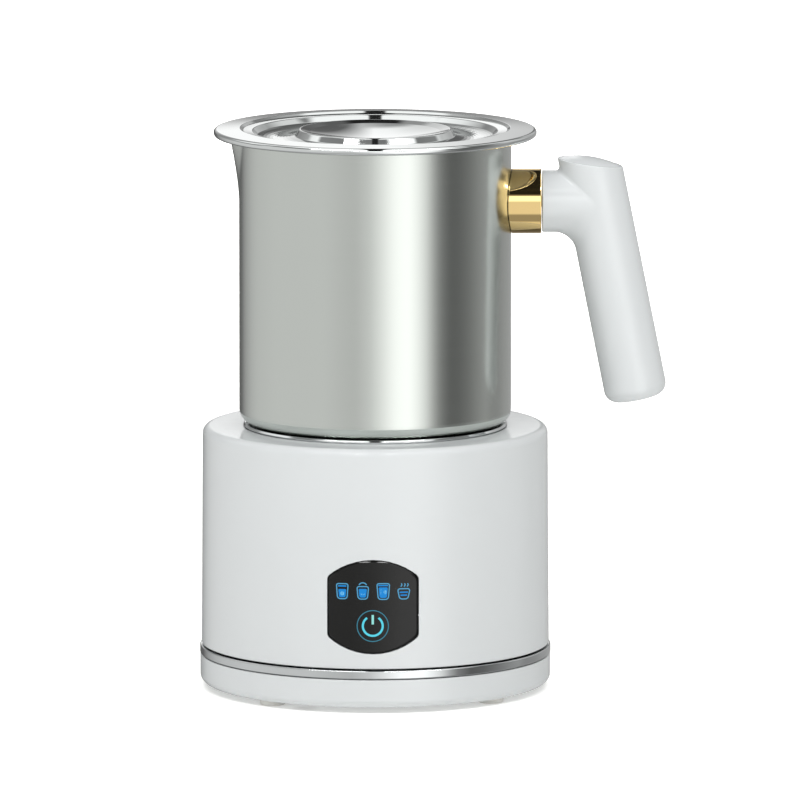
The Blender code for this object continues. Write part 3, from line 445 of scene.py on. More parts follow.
def glow(name, base, strength=1.0):
    """A printed symbol lit from behind: it gives its own even colour, a little stronger in places."""
    fixed = {"Emission Strength": strength, "Specular IOR Level": 0.1}
    material, tree, shader = surface(name, "#050607", 0.3, 0.0, fixed)
    shader.inputs["Emission Color"].default_value = colour(base)
    vary(tree, shader, grain(tree, 0.8), "Roughness", 0.25, 0.35)
    return material


glow_power = glow("lit_power_symbol", "#5cd6ea", 1.0)
glow_bar = glow("lit_power_bar", "#98e4de", 1.0)
glow_ring = glow("lit_ring", "#4389a0", 0.85)
glow_line = glow("lit_cup_outline", "#5fb0dc", 0.85)
glow_fill = glow("lit_cup_filling", "#1e8cdc", 0.95)
glow_light = glow("lit_cup_detail", "#7cc8ee", 1.0)
print("finishes", len(bpy.data.materials))

# %% [markdown]
# ## Turned pieces
# Most of the frother is turned or spun metal and round mouldings: one outline carried round the
# upright axis. A Screw modifier could do it, but a small Geometry Nodes lathe keeps its sizes as
# named inputs, and the same tree makes the jug, the lid, the rings and the screws.


# %% Outlines with rounded corners
def rounded(corners, closed=False, steps=6):
    """Points of an outline from (radius, height, fillet) corners, each fillet drawn as an arc."""
    points = []
    for index, corner in enumerate(corners):
        here = Vector(corner[:2])
        fillet = corner[2] if len(corner) > 2 else 0.0
        inner = closed or 0 < index < len(corners) - 1
        if fillet == 0.0 or not inner:
            points.append(here)
            continue
        before = (Vector(corners[index - 1][:2]) - here).normalized()
        after = (Vector(corners[(index + 1) % len(corners)][:2]) - here).normalized()
        half = before.angle(after) / 2
        centre = here + (before + after).normalized() * (fillet / math.sin(half))
        reach = fillet / math.tan(half)
        start = here + before * reach - centre
        end = here + after * reach - centre
        sweep = math.remainder(math.atan2(end.y, end.x) - math.atan2(start.y, start.x), 2 * math.pi)
        for step in range(steps + 1):
            angle = math.atan2(start.y, start.x) + sweep * step / steps
            points.append(centre + fillet * Vector((math.cos(angle), math.sin(angle))))
    return points


def held(points, closed, hold=0.08, bend=0.04):
    """Adds a point near each bent end of a long straight run, so that shading stays flat along it."""
    result = []
    count = len(points)
    for index, here in enumerate(points):
        result.append(here)
        if index == count - 1 and not closed:
            break
        after = points[(index + 1) % count]
        run = after - here
        if run.length < 6 * hold:
            continue
        before = here - points[index - 1]
        beyond = points[(index + 2) % count] - after
        if (closed or index) and before.length and run.angle(before) > bend:
            result.append(here + run.normalized() * hold)
        if (closed or index < count - 2) and beyond.length and run.angle(beyond) > bend:
            result.append(after - run.normalized() * hold)
    return result


def winding(points):
    """Twice the signed area inside an outline: above zero when it runs with its outer side outwards."""
    area = 0.0
    for here, after in zip(points, points[1:] + points[:1]):
        area += here[0] * after[1] - after[0] * here[1]
    return area


def outline_object(name, points, closed):
    """An object that holds only an outline, in metres, for the lathe to turn."""
    points = held([Vector(point) for point in points], closed)
    if winding(points) < 0:
        points = points[::-1]
    if closed:
        points = points + points[:1]
    mesh = bpy.data.meshes.new(name)
    placed = [(point[0] * MM, 0.0, point[1] * MM) for point in points]
    mesh.from_pydata(placed, [(index, index + 1) for index in range(len(points) - 1)], [])
    return in_scene(name, mesh)


print("outline helpers ready")

# %% [markdown]
# The lathe tree makes a grid with one column for each step round the axis and one row for each point
# of the outline, then moves every grid point to its place. Merging closes the seam and the poles.


# %% The lathe tree
def new_tree(name, sizes):
    """A geometry tree with these named inputs and a material, and what its input node gives."""
    tree = bpy.data.node_groups.new(name, "GeometryNodeTree")
    for label, kind in {"Geometry": "Geometry", **sizes, "Material": "Material"}.items():
        tree.interface.new_socket(label, in_out="INPUT", socket_type=f"NodeSocket{kind}")
    tree.interface.new_socket("Geometry", in_out="OUTPUT", socket_type="NodeSocketGeometry")
    return tree, add(tree, "NodeGroupInput").outputs


def close_tree(tree, geometry, material):
    """Ends a tree the same way each time: real geometry, smooth faces and one finish."""
    real = add(tree, "GeometryNodeRealizeInstances", None, {0: geometry})
    smooth = add(tree, "GeometryNodeSetShadeSmooth", None, {0: real})
    made = add(tree, "GeometryNodeSetMaterial", None, {0: smooth, "Material": material})
    add(tree, "NodeGroupOutput", None, {0: made})
    return tree


def around_axis(tree, angle, radius, level):
    """The point at an angle, a radius and a level round the upright axis."""
    cosine = add(tree, "ShaderNodeMath", "COSINE", (angle,))
    sine = add(tree, "ShaderNodeMath", "SINE", (angle,))
    across = add(tree, "ShaderNodeMath", "MULTIPLY", (radius, cosine))
    along = add(tree, "ShaderNodeMath", "MULTIPLY", (radius, sine))
    return add(tree, "ShaderNodeCombineXYZ", None, {0: across, 1: along, 2: level})


def part_turn(tree, count, steps):
    """The angle after this many of the steps that make one turn."""
    share = add(tree, "ShaderNodeMath", "DIVIDE", (count, steps))
    return add(tree, "ShaderNodeMath", "MULTIPLY", (share, 2.0 * math.pi))


def lathe_tree():
    """Turns an outline round the upright axis."""
    tree, given = new_tree("lathe", {"Segments": "Int"})
    rows = add(tree, "GeometryNodeAttributeDomainSize", None, {0: given[0]})
    columns = add(tree, "ShaderNodeMath", "ADD", (given["Segments"], 1.0))
    grid = add(tree, "GeometryNodeMeshGrid", None, {"Vertices X": columns, "Vertices Y": rows})
    index = add(tree, "GeometryNodeInputIndex")
    row = add(tree, "ShaderNodeMath", "FLOORED_MODULO", (index, rows))
    inside = add(tree, "ShaderNodeMath", "ADD", (index, 0.5))
    ratio = add(tree, "ShaderNodeMath", "DIVIDE", (inside, rows))
    column = add(tree, "ShaderNodeMath", "FLOOR", (ratio,))
    place = add(tree, "GeometryNodeInputPosition")
    sampling = {0: given[0], "Value": place, "Index": row}
    sample = add(tree, "GeometryNodeSampleIndex", {"data_type": "FLOAT_VECTOR"}, sampling)
    drawn = add(tree, "ShaderNodeSeparateXYZ", None, {0: sample}).outputs
    target = around_axis(tree, part_turn(tree, column, given["Segments"]), drawn[0], drawn[2])
    moved = add(tree, "GeometryNodeSetPosition", None, {0: grid, "Position": target})
    merged = add(tree, "GeometryNodeMergeByDistance", None, {0: moved, "Distance": 0.000001})
    return close_tree(tree, merged, given["Material"])


lathe = lathe_tree()
print("lathe nodes", len(lathe.nodes))

# %% [markdown]
# What a tree makes is live until it is taken as a plain mesh. The same few steps serve every piece:
# run the tree, settle what it made, and say which body it rides on and which CAD nodes it stands for.


# %% Running a tree and keeping its result
CREASE = 32.0


def run_tree(obj, tree, values):
    """Gives an object a Geometry Nodes modifier and sets its named inputs by their identifiers."""
    modifier = obj.modifiers.new(tree.name, "NODES")
    modifier.node_group = tree
    for socket in tree.interface.items_tree:
        if socket.name in values:
            modifier[socket.identifier] = values[socket.name]


def settle(obj, sharp=CREASE):
    """Turns an object's modifiers into a plain mesh, with creases where faces meet sharply."""
    graph = bpy.context.evaluated_depsgraph_get()
    mesh = bpy.data.meshes.new_from_object(obj.evaluated_get(graph))
    obj.modifiers.clear()
    obj.data = mesh
    mesh.shade_smooth()
    mesh.set_sharp_from_angle(angle=math.radians(sharp))
    return obj


def turned_points(name, points, material, closed=False, segments=128):
    """Ready outline points turned round the upright axis into a plain mesh."""
    obj = outline_object(name, points, closed)
    run_tree(obj, lathe, {"Segments": segments, "Material": material})
    return settle(obj)


def turned(name, corners, material, closed=False, segments=128, steps=6):
    """An outline with rounded corners turned round the upright axis."""
    return turned_points(name, rounded(corners, closed, steps), material, closed, segments)


def fit(obj, body, slot, *replaced):
    """The finished piece rides on its body and stands for its CAD nodes. The slot is not used."""
    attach(obj, body)
    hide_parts(*replaced)
    print(obj.name, "faces", len(obj.data.polygons))


def numbered(name, count):
    """The names of a row of like parts."""
    return [f"{name}_{number}" for number in range(1, count + 1)]


print("ready to turn")

# %% [markdown]
# ## Cutting openings
# The housing, the plinth and the seat plate have holes. A cutter is a closed prism, and the exact
# Boolean takes it away.


# %% Prisms and cuts
def keep_mesh(name, bm, material):
    """Turns a bmesh into an object, with its faces pointing outwards."""
    bmesh.ops.recalc_face_normals(bm, faces=bm.faces)
    mesh = bpy.data.meshes.new(name)
    bm.to_mesh(mesh)
    bm.free()
    mesh.materials.append(material)
    return in_scene(name, mesh)


def mesh_object(name, rings, material, closed=False):
    """Joins rings of points in millimetres into a closed mesh. A ring of one point is a pole."""
    bm = bmesh.new()
    made = [[bm.verts.new([value * MM for value in point]) for point in ring] for ring in rings]
    pairs = list(zip(made, made[1:]))
    if closed:
        pairs.append((made[-1], made[0]))
    for low, high in pairs:
        count = max(len(low), len(high))
        for step in range(count):
            after = (step + 1) % count
            corners = [low[step % len(low)], low[after % len(low)]]
            corners += [high[after % len(high)], high[step % len(high)]]
            corners = list(dict.fromkeys(corners))
            if len(corners) > 2:
                bm.faces.new(corners)
    if not closed:
        for ring in (made[0], made[-1]):
            if len(ring) > 2:
                bm.faces.new(ring)
    obj = keep_mesh(name, bm, material)
    obj.data.shade_smooth()
    obj.data.set_sharp_from_angle(angle=math.radians(CREASE))
    return obj


def circle(radius, count, at=(0.0, 0.0), start=0.0):
    """Points round a circle."""
    points = []
    for step in range(count):
        angle = math.radians(start) + 2 * math.pi * step / count
        points.append((at[0] + radius * math.cos(angle), at[1] + radius * math.sin(angle)))
    return points


def cut(obj, cutter):
    """Takes a cutter away from a piece and removes the cutter."""
    modifier = obj.modifiers.new("cut", "BOOLEAN")
    modifier.operation = "DIFFERENCE"
    modifier.object = cutter
    modifier.solver = "EXACT"
    settle(obj)
    bpy.data.objects.remove(cutter, do_unlink=True)


def upright_hole(obj, radius, low, high, at, count=40):
    """Cuts a round hole along Z."""
    rings = [[(x, y, z) for x, y in circle(radius, count, at, 2.0)] for z in (low, high)]
    cut(obj, mesh_object("hole", rings, obj.data.materials[0]))


def polar(radius, degrees):
    """The point at a radius and an angle from +X."""
    return radius * math.cos(math.radians(degrees)), radius * math.sin(math.radians(degrees))


# %% [markdown]
# ## The window's outline
# The touch window has straight sides and bowed ends, with small rounded corners. Three arcs and a
# line on each side are enough to describe it.


# %% The window's outline
WINDOW_X = -0.7
WINDOW_HALF = 16.6
WINDOW_SIDES = (28.9, 50.7)
WINDOW_RISE = 6.4
WINDOW_CORNER = 2.5
WINDOW_FACE = 64.2
WINDOW_BACK = 62.6
WINDOW_MIDDLE = (WINDOW_SIDES[0] + WINDOW_SIDES[1]) / 2


def window_outline(grow=0.0, steps=6):
    """The outline round the window's middle, as (across, up) points, grown by a margin."""
    half = WINDOW_HALF + grow
    rise = WINDOW_RISE
    side = (WINDOW_SIDES[1] - WINDOW_SIDES[0]) / 2 + grow
    bow = (half ** 2 + rise ** 2) / (2 * rise)
    spread = math.asin(half / bow)
    corners = []
    for end in (1, -1):
        for step in range(-steps, steps + 1):
            angle = end * spread * step / steps
            fillet = WINDOW_CORNER if abs(step) == steps else 0.0
            up = side + rise - bow + bow * math.cos(angle)
            corners.append((-bow * math.sin(angle), end * up, fillet))
    return rounded(corners, True, 5)


def front_prism(name, outline, near, far, x, z, material):
    """A flat outline extruded from y = near to y = far."""
    rings = [[(x + across, y, z + up) for across, up in outline] for y in (near, far)]
    return mesh_object(name, rings, material)


print("window outline points", len(window_outline()))

# %% [markdown]
# ## The base
# The housing is one deep moulding: wall, rounded deck edge and a stepped seat for the jug. It is
# turned first, and then the window and the mains inlet are cut through its wall, each a little larger
# than what goes into it. An outline is a list of corners, each with a radius, a height and, where the
# edge is soft, a fillet.


# %% Housing
INLET_HEIGHT = 32.0
INLET_FACE = 63.2
INLET_SIZE = (20.6, 13.4)
INLET_DEPTH = 21.0
ROOM = 0.25


def rounded_rectangle(width, height, fillet, steps=6):
    """The outline of a rectangle with round corners."""
    x, y = width / 2, height / 2
    return rounded([(x, -y, fillet), (x, y, fillet), (-x, y, fillet), (-x, -y, fillet)], True, steps)


housing_corners = [
    (HOUSING_FOOT[0], HOUSING_FOOT[1], 0.5), (HOUSING_RADIUS, DECK, 2.8), (SEAT_HOLE, DECK, 0.5),
    (SEAT_HOLE, 90.0), (43.5, 90.0, 0.4), (43.5, 88.0), (50.9, 88.0), (50.9, 95.6), (59.4, 95.6),
    (61.6, 93.0), (62.1, HOUSING_FOOT[1]),
]
housing = turned("housing_shell", housing_corners, white_body, True, 256, 8)
window_hole = window_outline(ROOM)
cut(housing, front_prism("opening", window_hole, -70, -55, WINDOW_X, WINDOW_MIDDLE, white_body))
socket_hole = rounded_rectangle(INLET_SIZE[0] + 2 * ROOM, INLET_SIZE[1] + 2 * ROOM, 3.25)
cut(housing, front_prism("socket_hole", socket_hole, 55, 70, 0, INLET_HEIGHT, white_body))
fit(housing, "base", "white_gloss_plastic", "housing")

# %% [markdown]
# The plinth closes the base from below. Its foot recesses and screw wells are cut like the window,
# and the bright band above it is a separate plated ring with softly rounded edges.


# %% Plinth and bright band
plinth_corners = [
    (0, 1.2), (25.0, 1.2, 0.5), (25.8, PLINTH_BOTTOM, 0.5), (PLINTH_RADIUS, PLINTH_BOTTOM, 3.0),
    (PLINTH_RADIUS, PLINTH_TOP, 0.5), (62.6, PLINTH_TOP, 0.3), (62.6, 4.4), (0, 4.4),
]
plinth = turned("plinth", plinth_corners, white_body, False, 192, 8)
for step in range(4):
    upright_hole(plinth, FOOT_RADIUS + ROOM, 0.0, 3.0, polar(FOOT_CIRCLE, FOOT_TURN + 90 * step))
for step in range(3):
    upright_hole(plinth, 3.4, 0.0, 6.0, polar(SCREW_CIRCLE, SCREW_TURN + 120 * step), 28)
fit(plinth, "base", "white_gloss_plastic", "bottom_cover")

band_corners = [(62.7, 13.0), (TRIM_RADIUS, 13.0, 0.45), (TRIM_RADIUS, 16.1, 0.45), (62.7, 16.1)]
trim = turned("bright_band", band_corners, chrome, True, 256)
fit(trim, "base", "chrome_plate", "trim_ring")

# %% [markdown]
# Feet and screws repeat round the axis. A second tree copies one turned piece round a circle, the
# way a maker would drill with an indexing head.


# %% Copies round the axis
def copies_tree():
    """Copies a piece to the points of a circle round the upright axis."""
    tree, given = new_tree("copies_round_axis", {"Count": "Int", "Circle": "Float", "Turn": "Float"})
    ring = add(tree, "GeometryNodeMeshCircle", None, {"Vertices": given["Count"], "Radius": given["Circle"]})
    spin = add(tree, "ShaderNodeCombineXYZ", None, {2: given["Turn"]})
    placed = add(tree, "GeometryNodeTransform", None, {0: ring, "Rotation": spin})
    copies = add(tree, "GeometryNodeInstanceOnPoints", None, {0: placed, "Instance": given[0]})
    return close_tree(tree, copies, given["Material"])


copies_round = copies_tree()


def copied(obj, count, circle_radius, degrees, material):
    """Copies a turned piece round the axis, on a circle in millimetres."""
    values = {"Count": count, "Circle": circle_radius * MM, "Turn": math.radians(degrees)}
    run_tree(obj, copies_round, {**values, "Material": material})
    return settle(obj)


foot_corners = [
    (0, 0.35), (3.4, 0.35, 0.3), (3.6, 0.0, 0.2), (4.6, 0.0, 0.5), (FOOT_RADIUS, 2.7, 0.5), (0, 2.7),
]
feet = turned("feet", foot_corners, rubber, segments=40)
fit(copied(feet, 4, FOOT_CIRCLE, FOOT_TURN, rubber), "base", "foot_rubber", *numbered("foot", 4))

screw_corners = [
    (0, 6.6), (1.1, 6.3, 0.2), (1.25, 5.35, 0.1), (2.2, 5.3, 0.5), (2.9, 6.2, 0.4), (2.9, 7.3, 0.2),
    (1.5, 7.3), (1.5, 19.2), (0, 20.0),
]
screws = turned("cover_screws", screw_corners, zinc, segments=24)
fit(copied(screws, 3, SCREW_CIRCLE, SCREW_TURN, zinc), "base", "zinc_steel", *numbered("cover_screw", 3))

# %% [markdown]
# The jug stands on a black glass plate with a bright ring round it. The spring-loaded feeler in the
# plate rides on its own body, because the jug presses it down. The feeler is turned like the rest and
# then carried to its place in the plate.

# %% Seat ring, seat plate and feeler
ring_corners = [
    (46.5, 90.3), (48.2, 90.3, 0.2), (48.2, 98.3, 0.1), (48.9, 98.3, 0.08), (48.9, 98.5, 0.05),
    (48.35, 99.2, 0.2), (47.4, 99.2, 0.4), (46.5, 98.2),
]
seat_ring = turned("seat_ring_fine", ring_corners, chrome, True, 256, 8)
fit(seat_ring, "base", "chrome_plate", "seat_ring")

sensor_x, sensor_y = polar(SENSOR_CIRCLE, SENSOR_ANGLE)
plate_corners = [(0, 90.3), (PLATE_RADIUS, 90.3, 0.3), (PLATE_RADIUS, PLATE_TOP, 0.5), (0, PLATE_TOP)]
plate = turned("seat_glass", plate_corners, black_glass, segments=192)
upright_hole(plate, SENSOR_RADIUS + ROOM, 85, 100, (sensor_x, sensor_y))
fit(plate, "base", "black_glass", "seat_plate")

feeler_corners = [
    (0, 88.0), (4.2, 88.0, 0.2), (4.2, 89.8, 0.2), (SENSOR_RADIUS, 89.8),
    (SENSOR_RADIUS, PLATE_TOP, 0.7), (0, PLATE_TOP),
]
feeler = turned("feeler", feeler_corners, nickel, segments=48)
feeler.data.transform(Matrix.Translation(Vector((sensor_x, sensor_y, 0.0)) * MM))
fit(feeler, "sensor", "zinc_steel", "sensor_cap")

# %% [markdown]
# A small steel spring lifts the feeler. It is one wire on a helix, so a third tree sweeps a round section
# along a spiral.


# %% Feeler spring
def helix_tree():
    """A round wire on an upright helix."""
    sizes = {"Turns": "Float", "Radius": "Float", "Height": "Float", "Wire Radius": "Float"}
    tree, given = new_tree("wire_helix", sizes)
    form = {"Resolution": 24, "Rotations": given["Turns"], "Height": given["Height"]}
    form.update({"Start Radius": given["Radius"], "End Radius": given["Radius"]})
    spiral = add(tree, "GeometryNodeCurveSpiral", None, form)
    round_wire = {"Resolution": 8, "Radius": given["Wire Radius"]}
    section = add(tree, "GeometryNodeCurvePrimitiveCircle", None, round_wire)
    sweep = {"Curve": spiral, "Profile Curve": section, "Fill Caps": True}
    return close_tree(tree, add(tree, "GeometryNodeCurveToMesh", None, sweep), given["Material"])


SPRING_WIRE = 0.25
SPRING_SEAT = 1.2 * SPRING_WIRE
spring_low, spring_high = (corner[2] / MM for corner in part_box("sensor_spring"))
feeler_spring = outline_object("feeler_spring", [(0.0, 0.0), (1.0, 0.0)], False)
spring_height = spring_high - spring_low - 2 * SPRING_SEAT
spring_sizes = {"Turns": 3.0, "Radius": 2.6 * MM, "Wire Radius": SPRING_WIRE * MM}
run_tree(feeler_spring, helix_tree(), {**spring_sizes, "Height": spring_height * MM, "Material": zinc})
settle(feeler_spring, 60.0)
seat = Vector((sensor_x, sensor_y, spring_low + SPRING_SEAT)) * MM
feeler_spring.data.transform(Matrix.Translation(seat))
fit(feeler_spring, "base", "zinc_steel", "sensor_spring")
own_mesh(feeler_spring)

# %% [markdown]
# ## The touch window
# The window is a thin plate of smoked glass, bent to the housing's wall, with a narrow ground bevel
# round its edge. Its front is made of rings that shrink from the outline to the middle, each laid on
# the curve.


# %% Window plate
def on_curve(across, up, radius):
    """A point on the upright cylinder of this radius, seen from the front, in millimetres."""
    x = WINDOW_X + across
    return (x, -math.sqrt(radius ** 2 - x ** 2), WINDOW_MIDDLE + up)


def shrunk(points, share, radius):
    """An outline drawn in towards the middle and laid on the curve."""
    return [on_curve(across * share, up * share, radius) for across, up in points]


BEVEL = 0.62
BEVEL_STEPS = ((0.0, 0.5), (0.0, 0.42), (0.03, 0.36), (0.08, 0.32), (BEVEL - 0.05, 0.04), (BEVEL, 0.01))
edge = window_outline()
face = window_outline(-BEVEL - 0.06)
window_rings = [[on_curve(0, 0, WINDOW_BACK)]]
window_rings += [shrunk(edge, share, WINDOW_BACK) for share in (0.25, 0.5, 0.75, 1.0)]
for inset, depth in BEVEL_STEPS:
    window_rings.append([on_curve(x, z, WINDOW_FACE - depth) for x, z in window_outline(-inset)])
window_rings += [shrunk(face, share, WINDOW_FACE) for share in (1.0, 0.99, 0.85, 0.7, 0.55, 0.4, 0.25, 0.1)]
window_rings.append([on_curve(0, 0, WINDOW_FACE)])
window = mesh_object("touch_window", window_rings, window_glass)
fit(window, "base", "dark_window", "control_window")

# %% [markdown]
# The symbols are printed on the back of the glass and lit from behind. They are drawn as strokes of
# one width and as filled shapes, each laid just proud of the glass. The drinks are plain cups and
# glasses, different only in their filling.


# %% Drawing lit symbols
SYMBOL_FACE = WINDOW_FACE + 0.02
SYMBOL_LIFT = 0.03


def lit_object(name, strips, material):
    """Makes strips of (left, right) point pairs into one thin closed piece on the glass."""
    bm = bmesh.new()
    for strip, closed in strips:
        layers = []
        for radius in (SYMBOL_FACE, SYMBOL_FACE + SYMBOL_LIFT):
            placed = [[on_curve(*point, radius) for point in pair] for pair in strip]
            layers.append([[bm.verts.new(Vector(point) * MM) for point in pair] for pair in placed])
        low, high = layers
        for here in range(len(strip) if closed else len(strip) - 1):
            after = (here + 1) % len(strip)
            bm.faces.new((high[here][0], high[here][1], high[after][1], high[after][0]))
            bm.faces.new((low[here][0], low[after][0], low[after][1], low[here][1]))
            for side in (0, 1):
                bm.faces.new((low[here][side], high[here][side], high[after][side], low[after][side]))
        if not closed:
            for end in (0, -1):
                bm.faces.new((low[end][0], low[end][1], high[end][1], high[end][0]))
    obj = keep_mesh(name, bm, material)
    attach(obj, "base")
    print(name, "strips", len(strips))


def stroke(points, width, closed=False):
    """A line of one width along points, as left and right edges."""
    strip = []
    for index, point in enumerate(points):
        before = points[index - 1] if closed or index else point
        after = points[(index + 1) % len(points)] if closed or index < len(points) - 1 else point
        along = (Vector(after) - Vector(before)).normalized()
        side = Vector((-along.y, along.x)) * width / 2
        here = Vector(point)
        strip.append((tuple(here + side), tuple(here - side)))
    return strip, closed


def filled(points, steps=12):
    """A convex shape filled with upright strips, so that it bends with the glass."""
    left, right = min(x for x, _ in points), max(x for x, _ in points)
    strip = []
    for step in range(steps + 1):
        x = left + (right - left) * (0.001 + 0.998 * step / steps)
        heights = []
        for here, after in zip(points, points[1:] + points[:1]):
            if (here[0] - x) * (after[0] - x) <= 0 and here[0] != after[0]:
                share = (x - here[0]) / (after[0] - here[0])
                heights.append(here[1] + share * (after[1] - here[1]))
        strip.append(((x, max(heights)), (x, min(heights))))
    return strip, False


def arc_points(centre, radius, start, end, steps):
    """Points along an arc, from one angle to another in degrees."""
    points = []
    for step in range(steps + 1):
        x, z = polar(radius, start + (end - start) * step / steps)
        points.append((centre[0] + x, centre[1] + z))
    return points


print("symbol helpers ready")

# %% [markdown]
# The power symbol is a thin ring, a broken circle and a bar. The four cups repeat one outline with
# other widths, so a short table of sizes and of a few marks is all they need.

# %% Power symbol
POWER = (-0.1, 32.8 - WINDOW_MIDDLE)
power_bar = [(POWER[0], POWER[1] + 0.6), (POWER[0], POWER[1] + 4.1)]
lit_object("power_ring", [stroke(arc_points(POWER, 5.75, 0, 352.5, 47), 0.36, True)], glow_ring)
lit_object("power_arc", [stroke(arc_points(POWER, 3.65, 125, 415, 48), 0.78)], glow_power)
lit_object("power_bar", [stroke(power_bar, 0.85)], glow_bar)


# %% Drink symbols
CUPS_UP = 45.65 - WINDOW_MIDDLE
CUP_SPACING = 7.53
CUP_LINE = 0.4
CUP_WALL = 0.55


def trapezium(top, top_half, top_fillet, bottom, bottom_half, bottom_fillet):
    """A cup's shape: two heights, the half-width at each, and its rounded corners."""
    corners = [(top_half, top, top_fillet), (-top_half, top, top_fillet)]
    corners += [(-bottom_half, bottom, bottom_fillet), (bottom_half, bottom, bottom_fillet)]
    return [tuple(point) for point in rounded(corners, True, 4)]


def bar_across(half, up, width=0.5):
    """A level stroke across a cup."""
    return stroke([(-half, up), (half, up)], width)


def dot(across, up):
    """A small round spot."""
    return filled(arc_points((across, up), 0.75, 0, 330, 11))


# Each cup: height and half-width of the rim, of the foot, the level of the filling if it has one, and
# then what is drawn besides as lines, as filling and as lighter details.
steam = [stroke([(x - 0.2, 1.7), (x + 0.25, 2.3), (x, 2.9)], CUP_LINE) for x in (-0.9, 0.3, 1.4)]
froth = stroke(arc_points((0, 1.6), 1.6, 30, 150, 8), CUP_LINE)
smile = stroke(arc_points((0, -0.2), 1.0, 215, 325, 6), CUP_LINE)
gleam = stroke([(-0.9, 0.8), (-0.7, -1.2)], 0.5)
CUPS = (
    ((2.75, 2.15), (-2.85, 1.75), 0.75, [], [bar_across(1.5, 1.9, 0.55)], [dot(0, -0.9)]),
    ((1.8, 2.15), (-2.85, 1.7), 0.95, [froth], [], [smile]),
    ((2.9, 2.35), (-2.95, 1.85), 1.5, [], [bar_across(1.8, 2.2)], [gleam, dot(0.7, -0.3)]),
    ((0.9, 2.3), (-2.9, 1.5), None, steam, [bar_across(1.5, -0.4), bar_across(1.2, -1.5)], []),
)

drawn = {"cup_outlines": [], "cup_fillings": [], "cup_details": []}
for number, ((top, rim), (low, base), level, lines, fillings, details) in enumerate(CUPS):
    lines = [stroke(trapezium(top, rim, 0.7, low, base, 1.1), CUP_LINE, True)] + lines
    if level is not None:
        wide = base + (rim - base) * (level - low) / (top - low) - CUP_WALL
        body = trapezium(level, wide, 0.3, low + CUP_WALL, base - 0.5, 0.7)
        fillings = [filled(body)] + fillings
    across = CUP_SPACING * (number - 1.5)
    for strips, found in zip(drawn.values(), (lines, fillings, details)):
        for strip, closed in found:
            moved = [[(x + across, up + CUPS_UP) for x, up in pair] for pair in strip]
            strips.append((moved, closed))
for (name, strips), material in zip(drawn.items(), (glow_line, glow_fill, glow_light)):
    lit_object(name, strips, material)

# %% [markdown]
# ## The mains inlet
# At the back is a two-pin socket: a black shell with a flat-sided oval well and two plated pins. The
# shell is one loft, in through the well's mouth and down to its floor.

# %% Inlet and pins
INLET_EDGE = 0.6
WELL_SIZE = (17.0, 9.4)
WELL_DEPTH = 13.0
PIN_ACROSS = 4.3
PIN_RADIUS = 1.2
PIN_TIP, PIN_ROOT = 61.6, 44.6


def inlet_ring(size, grow, fillet, depth):
    """A rounded rectangle that faces the back, this much larger than a size and this deep."""
    outline = rounded_rectangle(size[0] + grow, size[1] + grow, fillet, 8)
    return [(x, INLET_FACE - depth, INLET_HEIGHT + z) for x, z in outline]


inlet_rings = [
    [(0, INLET_FACE - INLET_DEPTH, INLET_HEIGHT)],
    inlet_ring(INLET_SIZE, 0.0, 3.0, INLET_DEPTH), inlet_ring(INLET_SIZE, 0.0, 3.0, INLET_EDGE),
    inlet_ring(INLET_SIZE, -0.4, 2.8, 0.15), inlet_ring(INLET_SIZE, -1.2, 2.5, 0.0),
    inlet_ring(WELL_SIZE, 0.6, 4.9, 0.0), inlet_ring(WELL_SIZE, 0.0, 4.6, 0.5),
    inlet_ring(WELL_SIZE, 0.0, 4.6, WELL_DEPTH),
    [(0, INLET_FACE - WELL_DEPTH, INLET_HEIGHT)],
]
inlet = mesh_object("inlet_shell", inlet_rings, black_plastic)
fit(inlet, "base", "black_plastic", "power_inlet")


def pin_ring(x, y, radius):
    """A ring round a contact pin."""
    return [(x + across, y, INLET_HEIGHT + up) for across, up in circle(radius, 24)]


for number, pin_x in ((1, -PIN_ACROSS), (2, PIN_ACROSS)):
    pin_rings = [[(pin_x, PIN_TIP, INLET_HEIGHT)]]
    for step in range(1, 7):
        slope = math.pi / 2 * step / 6
        y = PIN_TIP - PIN_RADIUS * (1 - math.cos(slope))
        pin_rings.append(pin_ring(pin_x, y, PIN_RADIUS * math.sin(slope)))
    pin_rings.append(pin_ring(pin_x, PIN_ROOT, PIN_RADIUS))
    pin = mesh_object(f"contact_pin_{number}", pin_rings, plated_pin)
    fit(pin, "base", "magnet_plate", f"inlet_pin_{number}")

# %% [markdown]
# ## The jug
# The jug is drawn from one sheet: a stepped base, a fillet and a straight wall. The spout is pinched
# out of the rim afterwards, so a second tree pushes the wall outwards near -X, more towards the rim
# and less to each side.


